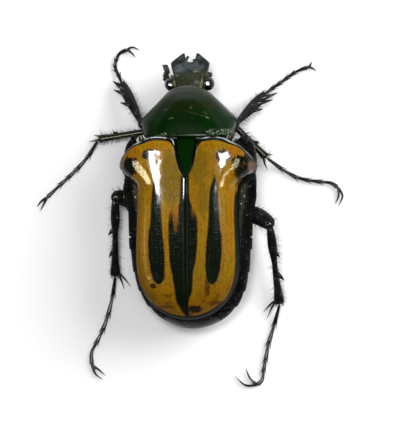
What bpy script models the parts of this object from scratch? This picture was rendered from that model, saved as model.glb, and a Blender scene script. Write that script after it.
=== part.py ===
"""A Madagascan flower chafer as a still, life-size display model.

Lengths in this file are millimetres in the beetle's own frame: +X is its right side, +Y runs from
tail to head, +Z is up, x = 0 is its middle and z = 0 is the floor that it stands on. The last step
turns millimetres into metres and moves the middle of the whole outline to the origin.
"""

import math

import bmesh
import bpy
from mathutils import Matrix, Vector

MM = 0.001
GAP = 0.25  # between neighbouring pieces

# Wing cases: a domed pair with square shoulders, a waist behind them and an oval rear end
CASE_TOP = 8.5
CASE_RIM = 4.7
CASE_WALL = 0.55
CASE_ARCH = 0.010  # fall of the back along its length, per square millimetre
DOME_POWER = 2.8
SHOULDER_HALF = 6.25
WAIST_HALF = 4.55
REAR_HALF = 4.7
SHOULDER_END = 4.1
WAIST_START = 2.2
FRONT_CENTRE = 3.6
FRONT_LENGTH = 3.6
FRONT_POWER = 3.5
FRONT_INSET = 0.5  # share of an inset that also shortens the front
REAR_CENTRE = -4.8
REAR_LENGTH = 5.05
REAR_POWER = 2.1
CASE_BASE = 6.6
# Height of the rim along the body
CASE_EDGE = ((3.4, 4.7), (3.9, 4.8), (4.6, 5.25), (5.4, 5.95), (6.1, 6.6), (6.6, 6.9))
SHOULDER_EDGE = (
    (4.1, 6.42), (4.75, 6.12), (5.5, 5.45), (5.97, 4.82), (6.22, 4.2), (6.12, 3.6), (5.65, 2.95),
    (4.9, 2.35), (4.63, 1.6), (4.57, 0.2), (4.65, -2.4), (4.7, -4.4),
)
CASE_ACROSS = 10
CASE_ALONG = 26
CASE_CROWDING = 0.65  # share by which the rows crowd towards the tail
TAIL_CORNER = 66  # degrees round the rear oval where its side becomes its tail
SHOULDER_KNOB = (4.35, 5.0)
SHOULDER_KNOB_REACH = 1.1
SHOULDER_KNOB_RISE = 0.3
REAR_KNOB = (3.1, -7.3)
REAR_KNOB_REACH = 1.2
REAR_KNOB_RISE = 0.22

# Small shield between the wing cases
SHIELD_HALF = 0.82
SHIELD_BASE = 6.6
SHIELD_TIP = 3.3
SHIELD_BLUNT = 0.15
SHIELD_THICK = 0.5
SHIELD_RISE = 0.06  # of its middle above the wing cases
SHIELD_FALL = 0.1

# Neck shield
NECK_BASE = 6.87
NECK_FRONT = 11.5
NECK_FRONT_SAG = 0.64
NECK_FRONT_HALF = 1.95
NECK_SIDE = ((3.98, 6.87), (4.18, 7.55), (4.28, 8.3), (3.72, 9.05), (2.8, 10.0), (1.95, 10.86))
NECK_CROWN = ((6.8, 7.55), (8.2, 7.45), (9.8, 6.75), (11.5, 5.55))
NECK_EDGE = ((6.8, 5.35), (7.6, 4.85), (8.4, 4.55), (9.6, 4.55), (10.9, 4.75))
NECK_POWER = 2.2
NECK_UNDER = ((6.8, 3.78), (9.4, 3.78), (10.3, 4.2), (10.8, 4.95), (11.5, 5.2))
NECK_UNDER_RISE = 0.3  # of the underside towards its edges
NECK_LIP = 0.4
NECK_ACROSS = 16
NECK_ALONG = 11

# Trunk under the wing cases, as sizes that change along the body
TRUNK_INSET = CASE_WALL + GAP + 0.3  # from the back's surface
TRUNK_HALF = (
    (6.6, 4.35), (6.3, 4.85), (5.6, 5.3), (4.3, 5.8), (2.7, 6.08), (0.3, 5.88), (-2.3, 5.8),
    (-3.8, 5.58), (-4.9, 5.44), (-6.5, 5.14), (-8.0, 4.55), (-9.0, 3.8), (-9.8, 2.82), (-10.3, 1.88),
    (-10.6, 0.95), (-10.7, 0.3),
)
TRUNK_SHELF = (
    (6.6, 5.5), (5.0, 5.4), (3.9, 4.42), (-9.3, 4.4), (-9.9, 4.2), (-10.4, 3.7), (-10.7, 3.0),
)
TRUNK_WIDEST = ((6.6, 4.2), (4.0, 3.7), (-2.0, 3.4), (-6.0, 3.3), (-9.0, 3.1), (-10.7, 2.75))
TRUNK_BELLY = (
    (6.6, 2.7), (5.9, 1.7), (4.5, 1.15), (1.0, 0.95), (-2.3, 1.0), (-5.0, 1.15), (-7.5, 1.45),
    (-9.0, 1.85), (-10.1, 2.25), (-10.7, 2.6),
)
KEEL_POWER = 1.6
ROUND_POWER = 2.0
CHEST_PLACES = (6.6, 6.3, 5.6, 5.0, 4.3, 3.6, 2.7, 1.6, 0.3, -1.0, -2.2)
TAIL_PLACES = (-9.2, -9.8, -10.3, -10.58)
SEGMENT_ENDS = (-3.45, -5.55, -7.3, -8.7)
SEGMENT_STEP = 0.10
TRUNK_CUT = -2.35
TAIL_END = -10.7
TAIL_TIP_HEIGHT = 2.85
TAIL_LEAN = 0.2  # the hind body lies a little to the right
RUMP_TOP = (-9.25, 5.0)  # (y, z) of two points on the cut in front of the tail plate
RUMP_FOOT = (-10.55, 1.9)

# Underside of the neck ring
THROAT_HALF = ((7.1, 2.2), (8.2, 2.7), (9.6, 2.5), (10.6, 1.7))
THROAT_TOP = 3.5
THROAT_FOOT = ((7.1, 2.3), (8.6, 1.7), (9.8, 1.75), (10.6, 2.4))
THROAT_PLACES = (7.1, 7.4, 8.2, 9.0, 9.8, 10.35, 10.6)
THROAT_PINCH = 0.8  # size of the end rings
THROAT_SQUARE = 0.75

# Roots of the legs, each with its size, on the right side
FRONT_ROOTS = (((1.15, 9.45, 1.95), (0.75, 0.8, 0.85)),)
CHEST_ROOTS = (((1.35, 3.95, 1.45), (0.95, 0.75, 0.6)), ((1.9, -0.55, 1.55), (1.7, 0.85, 0.6)))

# Head: half width, top and underside along it, with the lobed front plate
HEAD_HALF = (
    (10.9, 1.15), (11.3, 1.32), (12.2, 1.4), (12.55, 1.5), (12.75, 1.66), (13.1, 1.74), (13.5, 1.78),
    (13.62, 1.68), (13.9, 1.33), (14.2, 0.97), (14.42, 0.62),
)
HEAD_TOP = ((10.9, 4.4), (11.6, 4.75), (12.2, 4.6), (12.8, 4.2), (13.5, 3.85), (14.42, 3.55))
HEAD_FOOT = ((10.9, 2.7), (11.6, 2.4), (12.2, 2.5), (12.7, 3.0), (13.5, 3.25), (14.42, 3.1))
HEAD_POWER = ((10.9, 2.2), (12.2, 2.6), (13.0, 5.0), (14.42, 5.0))
HEAD_RIM = ((12.4, 0.0), (13.0, 0.16), (14.42, 0.12))
HEAD_PLACES = (10.9, 11.15, 11.6, 12.2, 12.5, 12.75, 13.1, 13.45, 13.62, 13.9, 14.2, 14.42)
NOTCH = (
    (-0.62, 14.7), (-0.5, 14.15), (-0.36, 13.8), (-0.12, 13.63), (0.12, 13.63), (0.36, 13.8),
    (0.5, 14.15), (0.62, 14.7),
)
EYE_PLACE = (1.72, 11.68, 3.85)
EYE_SIZE = (0.56, 0.62, 0.56)

# Feelers: a bent stalk, and a club of three leaves pressed together, each as a route
FEELERS = {
    "left": (((-1.78, 12.5, 3.35), (-2.5, 12.35, 3.15)), ((-2.32, 12.3, 3.15), (-2.45, 13.4, 3.15))),
    "right": (((1.84, 12.42, 3.45), (1.87, 12.52, 2.8)), ((1.82, 12.42, 3.0), (1.68, 12.5, 2.15))),
}
STALK = ((0, 0.25, 0.25), (0.5, 0.22, 0.22), (1, 0.25, 0.25))
CLUB = ((0, 0.25, 0.25), (0.5, 0.26, 0.3), (1, 0.2, 0.25))

# Mouth: the jaws' route, and the two palps that show in the front plate's notch
JAW = ((0, 11.75, 1.72), (0, 12.6, 1.98), (0, 13.35, 2.5))
JAW_SIZES = ((0, 0.7, 0.25), (0.4, 0.95, 0.38), (1, 0.6, 0.28))
PALPS = (
    ((-0.55, 13.0, 2.4), (-0.5, 13.6, 2.55), (-0.36, 14.15, 2.62)),
    ((0.45, 13.0, 2.4), (0.35, 13.5, 2.55), (0.16, 13.95, 2.62)),
)
PALP_SIZES = ((0, 0.25, 0.22), (0.7, 0.22, 0.2), (1, 0.2, 0.18))

# Legs, right and left as they lie. Each foot is a chain of joints from the shin to the claw root.
LEGS = {
    "front_left": {
        "hip": (-1.75, 9.5, 1.55), "knee": (-4.52, 7.95, 3.05), "ankle": (-6.66, 11.85, 0.85),
        "foot": (
            (-7.02, 12.6), (-7.29, 13.04), (-7.31, 13.46), (-7.17, 13.97), (-6.85, 14.5), (-6.2, 14.82),
        ),
        "claws": (((-5.7, 15.05), (-5.05, 14.78)), ((-5.75, 14.5), (-5.42, 14.1))),
        "teeth": ((-6.63, 9.98), (-7.33, 11.16), (-7.4, 11.95)), "spurs": (),
    },
    "front_right": {
        "hip": (1.75, 9.5, 1.55), "knee": (4.12, 7.98, 3.25), "ankle": (6.62, 10.8, 0.85),
        "foot": (
            (7.35, 11.38), (7.96, 11.8), (8.63, 12.3), (9.27, 12.74), (9.9, 13.02), (10.43, 13.18),
        ),
        "claws": (((10.68, 13.4), (10.75, 13.72)), ((10.85, 13.12), (11.22, 12.8))),
        "teeth": ((6.5, 9.34), (7.37, 10.22), (7.77, 10.86)), "spurs": (),
    },
    "middle_left": {
        "hip": (-1.75, 3.9, 0.95), "knee": (-4.0, 7.35, 2.0), "ankle": (-8.75, 6.62, 0.85),
        "foot": (
            (-9.72, 5.1), (-10.76, 3.92), (-11.6, 3.13), (-12.37, 2.44), (-12.98, 1.85), (-13.57, 1.3),
        ),
        "claws": (((-14.13, 0.92), (-14.47, 0.4)), ((-13.9, 0.62), (-14.2, 0.05))),
        "teeth": ((-7.4, 7.3),), "spurs": ((-9.72, 6.58), (-9.3, 7.05)),
    },
    "middle_right": {
        "hip": (1.75, 3.9, 0.95), "knee": (3.75, 7.95, 1.9), "ankle": (6.7, 4.92, 0.85),
        "foot": (
            (8.08, 3.85), (9.42, 3.09), (10.56, 2.85), (11.66, 2.71), (12.53, 2.62), (13.2, 2.2),
        ),
        "claws": (((13.62, 1.44), (13.25, 0.5)), ((13.25, 1.42), (12.95, 0.72))),
        "teeth": ((6.1, 6.3),), "spurs": ((6.75, 3.75), (7.25, 5.15)),
    },
    "hind_left": {
        "hip": (-2.2, -0.4, 0.95), "knee": (-7.0, 1.3, 2.75), "ankle": (-7.22, -5.98, 0.85),
        "bend": (-5.6, 1.05, 2.2),
        "foot": (
            (-7.49, -7.65), (-7.94, -9.47), (-8.44, -10.86), (-9.01, -12.02), (-9.47, -12.95),
            (-9.43, -14.07),
        ),
        "claws": (((-9.12, -14.87), (-8.44, -15.39)), ((-8.8, -14.5), (-8.17, -15.04))),
        "teeth": ((-7.75, -2.2), (-7.72, -4.2)), "spurs": ((-5.87, -6.88), (-6.45, -7.15)),
    },
    "hind_right": {
        "hip": (2.2, -0.4, 0.95), "knee": (7.2, -1.2, 2.75), "ankle": (7.9, -8.5, 0.85),
        "bend": (5.6, -0.3, 2.2),
        "foot": (
            (7.38, -10.3), (6.83, -12.07), (6.55, -13.63), (6.36, -14.62), (6.25, -15.4), (5.78, -15.85),
        ),
        "claws": (((4.71, -15.9), (3.69, -15.04)), ((5.08, -15.2), (4.74, -14.31))),
        "teeth": ((8.05, -4.2), (8.4, -6.3)), "spurs": ((6.7, -9.79), (6.35, -9.2)),
    },
}
# Half width and half thickness along each thigh and shin, from the body outwards
THIGH = {
    "front": ((0.0, 0.45, 0.4), (0.5, 0.62, 0.45), (1.0, 0.42, 0.38)),
    "middle": ((0.0, 0.45, 0.4), (0.5, 0.6, 0.42), (1.0, 0.42, 0.38)),
    "hind": ((0.0, 0.5, 0.42), (0.45, 0.78, 0.5), (0.8, 0.72, 0.45), (1.0, 0.52, 0.42)),
}
SHIN = {
    "front": (
        (0.0, 0.26, 0.26), (0.3, 0.42, 0.28), (0.6, 0.5, 0.28), (0.85, 0.4, 0.26), (1.0, 0.27, 0.26),
    ),
    "middle": ((0.0, 0.26, 0.26), (0.5, 0.29, 0.27), (0.9, 0.34, 0.3), (1.0, 0.34, 0.3)),
    "hind": (
        (0.0, 0.3, 0.3), (0.15, 0.4, 0.32), (0.35, 0.4, 0.3), (0.5, 0.27, 0.28), (0.75, 0.33, 0.3),
        (1.0, 0.42, 0.32),
    ),
}
KNEE_ROOM = GAP + 0.1
TOOTH_RADIUS = 0.24
TOOTH_LEAN = 0.06  # share of the shin by which a tooth leans towards the foot
TOOTH_LAST = 0.9
TOOTH_DROP = 0.1
SPUR_RADIUS = 0.16
SPUR_ASIDE = 0.16  # from the shin's middle line
SPUR_ROOT = 0.92
SPUR_HEIGHT = 0.2
TOE_RADIUS = 0.25
TOE_HEIGHT = 0.25
TOE_FLARE = ((0.03, 0.85), (0.86, 1.25), (1.0, 1.1))  # share of a toe joint, share of its radius
FOOT_START = {"front": 0.32, "middle": 0.42, "hind": 0.45}  # from the shin's end to the foot
SPINE_LENGTH = 0.45
SPINE_RADIUS = 0.13
SPINE_HEIGHT = 0.12
CLAW_SIZES = ((0.0, 0.2), (0.4, 0.16), (1.0, 0.04))  # share of its length, radius
CLAW_HEIGHT = 0.2

MATERIALS = {
    "wing_case": ((0.62, 0.30, 0.02), 0.22),
    "green_shield": ((0.012, 0.035, 0.014), 0.25),
    "black_body": ((0.010, 0.011, 0.010), 0.30),
    "head": ((0.02, 0.03, 0.022), 0.35),
    "eye": ((0.008, 0.006, 0.006), 0.12),
    "feeler": ((0.03, 0.025, 0.02), 0.4),
    "leg": ((0.010, 0.010, 0.011), 0.28),
}


def clear_scene():
    """Removes what the file opened with."""
    for obj in list(bpy.data.objects):
        bpy.data.objects.remove(obj, do_unlink=True)


def finish_of(name):
    """A material of this name from the table above."""
    found = bpy.data.materials.get(name)
    if found:
        return found
    colour, roughness = MATERIALS[name]
    material = bpy.data.materials.new(name)
    material.use_nodes = True
    shader = material.node_tree.nodes["Principled BSDF"]
    shader.inputs["Base Color"].default_value = (*colour, 1.0)
    shader.inputs["Roughness"].default_value = roughness
    shader.inputs["Metallic"].default_value = 0.0
    return material


def value_at(profile, where):
    """Smooth value of a size that is given at a few places along the body."""
    knots = sorted(profile)
    places = [knot[0] for knot in knots]
    if where <= places[0]:
        return knots[0][1]
    if where >= places[-1]:
        return knots[-1][1]
    left = max(index for index, place in enumerate(places) if place <= where)
    slopes = []
    for index in (left, left + 1):
        before = max(index - 1, 0)
        after = min(index + 1, len(knots) - 1)
        slopes.append((knots[after][1] - knots[before][1]) / (places[after] - places[before]))
    span = places[left + 1] - places[left]
    share = (where - places[left]) / span
    square = share * share
    cube = square * share
    return (
        (2 * cube - 3 * square + 1) * knots[left][1]
        + (cube - 2 * square + share) * span * slopes[0]
        + (3 * square - 2 * cube) * knots[left + 1][1]
        + (cube - square) * span * slopes[1]
    )


def along(points, share, smooth=True):
    """Point at a share of the length of a route, rounded through its points where smooth is set."""
    route = [Vector(point) for point in points]
    if smooth and len(route) > 2:
        route = rounded(route)
    steps = [(b - a).length for a, b in zip(route, route[1:])]
    left = share * sum(steps)
    for start, end, step in zip(route, route[1:], steps):
        if left <= step:
            return start.lerp(end, left / step)
        left -= step
    return route[-1]


def rounded(route, parts=6):
    """A finer route on a curve through the given points."""
    fine = []
    for index in range(len(route) - 1):
        a = route[max(index - 1, 0)]
        b = route[index]
        c = route[index + 1]
        d = route[min(index + 2, len(route) - 1)]
        for part in range(parts):
            t = part / parts
            fine.append(
                0.5 * (2 * b + (c - a) * t + (2 * a - 5 * b + 4 * c - d) * t * t
                       + (3 * b - a - 3 * c + d) * t * t * t)
            )
    fine.append(route[-1])
    return fine


def make_object(name, points, faces):
    """A mesh object with its faces turned outwards."""
    mesh = bpy.data.meshes.new(name)
    mesh.from_pydata([tuple(point) for point in points], [], faces)
    shell = bmesh.new()
    shell.from_mesh(mesh)
    bmesh.ops.recalc_face_normals(shell, faces=shell.faces)
    shell.to_mesh(mesh)
    shell.free()
    obj = bpy.data.objects.new(name, mesh)
    bpy.context.scene.collection.objects.link(obj)
    return obj


def loft(name, rings):
    """A closed skin through rings of equal count. A ring of one point closes an end as a pole."""
    points = []
    starts = []
    for ring in rings:
        starts.append(len(points))
        points.extend(ring)
    count = max(len(ring) for ring in rings)
    faces = []
    for (ring_a, a), (ring_b, b) in zip(zip(rings, starts), zip(rings[1:], starts[1:])):
        for side in range(count):
            other = (side + 1) % count
            if len(ring_a) == 1:
                faces.append((a, b + side, b + other))
            elif len(ring_b) == 1:
                faces.append((a + side, b, a + other))
            else:
                faces.append((a + side, b + side, b + other, a + other))
    for ring, start in ((rings[0], starts[0]), (rings[-1], starts[-1])):
        if len(ring) > 1:
            faces.append(tuple(range(start, start + count)))
    return make_object(name, points, faces)


def slab(name, top, under):
    """A closed plate between two grids of points of the same size."""
    rows = len(top)
    columns = len(top[0])
    points = [point for grid in (top, under) for row in grid for point in row]

    def spot(layer, row, column):
        return (layer * rows + row) * columns + column

    faces = []
    for row in range(rows - 1):
        for column in range(columns - 1):
            for layer in (0, 1):
                corners = [
                    spot(layer, row, column), spot(layer, row, column + 1),
                    spot(layer, row + 1, column + 1), spot(layer, row + 1, column),
                ]
                faces.append(tuple(corners if layer == 0 else reversed(corners)))
    rim = (
        [(0, column) for column in range(columns)]
        + [(row, columns - 1) for row in range(1, rows)]
        + [(rows - 1, column) for column in range(columns - 2, -1, -1)]
        + [(row, 0) for row in range(rows - 2, 0, -1)]
    )
    for one, two in zip(rim, rim[1:] + rim[:1]):
        faces.append((spot(0, *one), spot(1, *one), spot(1, *two), spot(0, *two)))
    return make_object(name, points, faces)


def limb(name, route, sizes, sides=10, grow=0.0, bands=6):
    """A tapering leg piece with domed ends along a route. Sizes give half width and half thickness."""
    length = sum((Vector(b) - Vector(a)).length for a, b in zip(route, route[1:]))
    widths = [(place, wide) for place, wide, _ in sizes]
    depths = [(place, deep) for place, _, deep in sizes]
    start_dome = min(sizes[0][1], sizes[0][2]) + grow
    end_dome = min(sizes[-1][1], sizes[-1][2]) + grow
    total = length + 2 * grow
    reach = total - start_dome - end_dome
    dome_steps = (0.15, 0.5) if bands > 3 else (0.3,)
    places = [step * start_dome for step in dome_steps]
    places += [start_dome + reach * band / bands for band in range(bands + 1)]
    places += [total - step * end_dome for step in reversed(dome_steps)]
    first = (Vector(route[1]) - Vector(route[0])).normalized()
    last = (Vector(route[-1]) - Vector(route[-2])).normalized()

    def centre(place):
        inner = place - grow
        if inner < 0:
            return Vector(route[0]) + first * inner
        if inner > length:
            return Vector(route[-1]) + last * (inner - length)
        return along(route, inner / length)

    rings = [[centre(0.0)]]
    for place in places:
        here = centre(place)
        heading = (centre(min(place + 0.05, total)) - centre(max(place - 0.05, 0.0))).normalized()
        across = heading.cross(Vector((0, 0, 1))).normalized()
        upward = across.cross(heading).normalized()
        share = min(max((place - grow) / length, 0.0), 1.0)
        dome = 1.0
        if place < start_dome:
            dome = math.sqrt(1 - (1 - place / start_dome) ** 2)
        elif total - place < end_dome:
            dome = math.sqrt(1 - (1 - (total - place) / end_dome) ** 2)
        wide = (value_at(widths, share) + grow) * dome
        deep = (value_at(depths, share) + grow) * dome
        rings.append([
            here + across * wide * math.cos(turn) + upward * deep * math.sin(turn)
            for turn in (2 * math.pi * (side + 0.5) / sides for side in range(sides))
        ])
    rings.append([centre(total)])
    return loft(name, rings)


def spike(name, root, tip, radius, sides=5, tip_radius=0.04):
    """A tapering tooth, spine or spur from root to tip."""
    root = Vector(root)
    tip = Vector(tip)
    heading = (tip - root).normalized()
    helper = Vector((0, 0, 1)) if abs(heading.z) < 0.9 else Vector((1, 0, 0))
    across = heading.cross(helper).normalized()
    upward = across.cross(heading)
    rings = []
    for centre, size in ((root, radius), (tip, tip_radius)):
        rings.append([
            centre + (across * math.cos(turn) + upward * math.sin(turn)) * size
            for turn in (2 * math.pi * side / sides for side in range(sides))
        ])
    return loft(name, rings)


def ball(name, centre, size, rings=8, sides=14):
    """An egg shape."""
    centre = Vector(centre)
    hoops = [[centre + Vector((0, 0, -size[2]))]]
    for ring in range(1, rings):
        lift = -math.cos(math.pi * ring / rings)
        spread = math.sin(math.pi * ring / rings)
        hoops.append([
            centre
            + Vector((size[0] * spread * math.cos(turn), size[1] * spread * math.sin(turn), size[2] * lift))
            for turn in (2 * math.pi * side / sides for side in range(sides))
        ])
    hoops.append([centre + Vector((0, 0, size[2]))])
    return loft(name, hoops)


def join_or_cut(obj, others, operation, solver="EXACT"):
    """Joins the others to the object, or cuts them from it, and removes them."""
    holder = bpy.data.collections.new("pieces")
    bpy.context.scene.collection.children.link(holder)
    for other in others:
        bpy.context.scene.collection.objects.unlink(other)
        holder.objects.link(other)
    boolean = obj.modifiers.new("boolean", "BOOLEAN")
    boolean.operation = operation
    boolean.operand_type = "COLLECTION"
    boolean.collection = holder
    boolean.solver = solver
    bpy.context.view_layer.update()
    graph = bpy.context.evaluated_depsgraph_get()
    result = bpy.data.meshes.new_from_object(obj.evaluated_get(graph))
    obj.modifiers.clear()
    obj.data = result
    for other in others:
        bpy.data.objects.remove(other, do_unlink=True)
    bpy.data.collections.remove(holder)
    keep_largest(obj)
    return obj


def keep_largest(obj):
    """Leaves only the largest closed surface of the object."""
    shell = bmesh.new()
    shell.from_mesh(obj.data)
    bmesh.ops.remove_doubles(shell, verts=shell.verts, dist=0.0005)
    bmesh.ops.dissolve_degenerate(shell, edges=shell.edges, dist=0.0005)
    left = set(shell.verts)
    groups = []
    while left:
        seed = left.pop()
        group = {seed}
        edge_of_group = [seed]
        while edge_of_group:
            vert = edge_of_group.pop()
            for edge in vert.link_edges:
                other = edge.other_vert(vert)
                if other not in group:
                    group.add(other)
                    edge_of_group.append(other)
        left -= group
        groups.append(group)

    def spread(group):
        lows = [min(vert.co[axis] for vert in group) for axis in range(3)]
        highs = [max(vert.co[axis] for vert in group) for axis in range(3)]
        return math.prod(high - low for low, high in zip(lows, highs))

    groups.sort(key=spread)
    for group in groups[:-1]:
        bmesh.ops.delete(shell, geom=list(group), context="VERTS")
    bmesh.ops.recalc_face_normals(shell, faces=shell.faces)
    shell.to_mesh(obj.data)
    shell.free()


def cut_off(obj, point, normal):
    """Keeps the side of a plane that its normal points away from, and closes the cut."""
    shell = bmesh.new()
    shell.from_mesh(obj.data)
    cut = bmesh.ops.bisect_plane(
        shell, geom=shell.verts[:] + shell.edges[:] + shell.faces[:], dist=1e-6,
        plane_co=point, plane_no=normal, clear_outer=True,
    )
    rim = [item for item in cut["geom_cut"] if isinstance(item, bmesh.types.BMEdge)]
    bmesh.ops.contextual_create(shell, geom=rim)
    bmesh.ops.recalc_face_normals(shell, faces=shell.faces)
    shell.to_mesh(obj.data)
    shell.free()
    return obj


def twin(obj, name):
    """A copy with its own mesh."""
    other = bpy.data.objects.new(name, obj.data.copy())
    bpy.context.scene.collection.objects.link(other)
    return other


def mirrored(obj, name):
    """A copy on the other side of the body."""
    other = twin(obj, name)
    other.data.transform(Matrix.Scale(-1, 4, (1, 0, 0)))
    other.data.flip_normals()
    return other


def smooth_step(share):
    share = min(max(share, 0.0), 1.0)
    return share * share * (3 - 2 * share)


def case_half(y):
    """Half width of the pair of wing cases: wide shoulders, then the waist."""
    shoulder = smooth_step((y - WAIST_START) / (SHOULDER_END - WAIST_START))
    rear = smooth_step((WAIST_START - y) / (WAIST_START - REAR_CENTRE))
    return WAIST_HALF + (SHOULDER_HALF - WAIST_HALF) * shoulder + (REAR_HALF - WAIST_HALF) * rear


def mound(x, y, place, radius, height):
    """A soft rise on the back, such as the knob of a shoulder."""
    near = ((abs(x) - place[0]) ** 2 + (y - place[1]) ** 2) / radius ** 2
    return height * math.exp(-2 * near)


def back_height(x, y, inset=0.0):
    """Height of the wing cases' surface, or of a surface that lies inside it by the inset."""
    half = min(case_half(y), case_half(y - inset)) - inset
    across = abs(x) / half
    if y > FRONT_CENTRE:
        ahead = (y - FRONT_CENTRE) / (FRONT_LENGTH - FRONT_INSET * inset)
        edge = (across ** FRONT_POWER + ahead ** FRONT_POWER) ** (1 / FRONT_POWER)
    elif y < REAR_CENTRE:
        behind = (REAR_CENTRE - y) / (REAR_LENGTH - inset)
        edge = (across ** REAR_POWER + behind ** REAR_POWER) ** (1 / REAR_POWER)
    else:
        edge = across
    edge = min(edge, 1.0)
    rise = CASE_TOP - CASE_RIM - CASE_ARCH * (y - 1.0) ** 2 - inset
    dome = (1 - edge ** DOME_POWER) ** (1 / DOME_POWER)
    knobs = mound(x, y, SHOULDER_KNOB, SHOULDER_KNOB_REACH, SHOULDER_KNOB_RISE)
    knobs += mound(x, y, REAR_KNOB, REAR_KNOB_REACH, REAR_KNOB_RISE)
    return CASE_RIM + rise * dome + (0.0 if inset else knobs * dome)


def shield_half(y):
    """Half width of the small shield, from its base to its tip."""
    return SHIELD_HALF * max((y - SHIELD_TIP) / (SHIELD_BASE - SHIELD_TIP), 0.0) ** 0.9


def rear_edge(turn):
    """A point of the oval rear outline of the wing cases, at an angle from its side to its tail."""
    return (
        REAR_HALF * math.cos(turn) ** (2 / REAR_POWER),
        REAR_CENTRE - REAR_LENGTH * math.sin(turn) ** (2 / REAR_POWER),
    )


def coons(front, rear, inner, outer, s, t):
    """A point inside four edge curves that meet at their ends."""
    corners = (
        front[0] * (1 - s) * (1 - t) + front[-1] * s * (1 - t) + rear[0] * (1 - s) * t + rear[-1] * s * t
    )
    return (
        along(front, s, smooth=False) * (1 - t) + along(rear, s, smooth=False) * t
        + along(inner, t, smooth=False) * (1 - s) + along(outer, t, smooth=False) * s - corners
    )


def case_plan():
    """The four edges of the right wing case, seen from above."""
    seam = GAP / 2
    tip = SHIELD_TIP - 1.4 * GAP
    corner_turn = math.radians(TAIL_CORNER)
    quarter = math.radians(90)
    side = [Vector((shield_half(y) + GAP, y)) for y in (3.7, 4.6, 5.6, CASE_BASE)]
    base = [Vector((2.6, CASE_BASE)), Vector((3.4, CASE_BASE - 0.05)), Vector(SHOULDER_EDGE[0])]
    front = [Vector((seam, tip)), *side, *base]
    arc = [Vector(rear_edge(corner_turn * part / 8)) for part in range(1, 9)]
    outer = rounded([Vector(point) for point in SHOULDER_EDGE]) + arc
    tail = [
        Vector(rear_edge(corner_turn + (quarter - corner_turn) * part / 5)) for part in range(5, -1, -1)
    ]
    tail[0] = Vector((seam, tail[0].y))
    inner = [front[0], tail[0]]
    return front, tail, inner, outer


def surface_normals(grid):
    """Upward normals of a grid of points."""
    rows = len(grid)
    columns = len(grid[0])
    normals = []
    for row in range(rows):
        line = []
        for column in range(columns):
            down = grid[min(row + 1, rows - 1)][column] - grid[max(row - 1, 0)][column]
            across = grid[row][min(column + 1, columns - 1)] - grid[row][max(column - 1, 0)]
            normal = across.cross(-down)
            line.append(normal.normalized() if normal.length > 1e-9 else Vector((0, 0, 1)))
        normals.append(line)
    return normals


def wing_case():
    """The right wing case: a thin shell with a rounded rim."""
    front, tail, inner, outer = case_plan()
    top = []
    for row in range(CASE_ALONG + 1):
        u = row / CASE_ALONG
        t = (1 - CASE_CROWDING) * u + CASE_CROWDING * math.sin(u * math.pi / 2)
        line = []
        for column in range(CASE_ACROSS + 1):
            s = math.sin(column / CASE_ACROSS * math.pi / 2)
            flat = coons(front, tail, inner, outer, s, t)
            height = back_height(flat.x, flat.y)
            if column == CASE_ACROSS or row == CASE_ALONG:
                height = min(height, value_at(CASE_EDGE, flat.y))
            line.append(Vector((flat.x, flat.y, height)))
        top.append(line)
    under = [
        [point - normal * CASE_WALL for point, normal in zip(*lines)]
        for lines in zip(top, surface_normals(top))
    ]
    for line in under:
        line[0].x = GAP / 2
        for point in line:
            point.z = max(point.z, CASE_RIM)
    return slab("wing_case_right", top, under)


def small_shield():
    """The long triangle between the wing cases."""
    top = []
    under = []
    for row in range(8):
        y = SHIELD_BASE + (SHIELD_TIP + SHIELD_BLUNT - SHIELD_BASE) * row / 7
        half = max(shield_half(y), 0.06)
        line = [
            Vector((half * s, y, back_height(0, y) + SHIELD_RISE - SHIELD_FALL * s * s))
            for s in (-1, -0.5, 0, 0.5, 1)
        ]
        top.append(line)
        under.append([Vector((point.x, point.y, point.z - SHIELD_THICK)) for point in line])
    return slab("scutellum", top, under)


def neck_shield():
    """The domed shield behind the head, with a thin front lip over the head's root."""
    shares = [part / 8 for part in range(-8, 9)]
    front = [Vector((NECK_FRONT_HALF * s, NECK_FRONT - NECK_FRONT_SAG * s * s)) for s in shares]
    base = [Vector((NECK_SIDE[0][0] * s, NECK_BASE)) for s in shares]
    right = rounded([Vector(point) for point in NECK_SIDE])
    left = [Vector((-point.x, point.y)) for point in right]
    top = []
    under = []
    for row in range(NECK_ALONG + 1):
        t = row / NECK_ALONG
        upper = []
        lower = []
        for column in range(NECK_ACROSS + 1):
            s = math.sin((column / NECK_ACROSS - 0.5) * math.pi)
            flat = coons(base, front, left, right, (s + 1) / 2, t)
            edge = value_at(NECK_EDGE, flat.y)
            crown = value_at(NECK_CROWN, flat.y)
            dome = max(1 - abs(s) ** NECK_POWER, 0.0) ** (1 / NECK_POWER)
            height = edge + (crown - edge) * dome
            floor = min(value_at(NECK_UNDER, flat.y) + NECK_UNDER_RISE * s * s, height - NECK_LIP)
            upper.append(Vector((flat.x, flat.y, height)))
            lower.append(Vector((flat.x, flat.y, floor)))
        top.append(upper)
        under.append(lower)
    return slab("pronotum", top, under)


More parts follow.
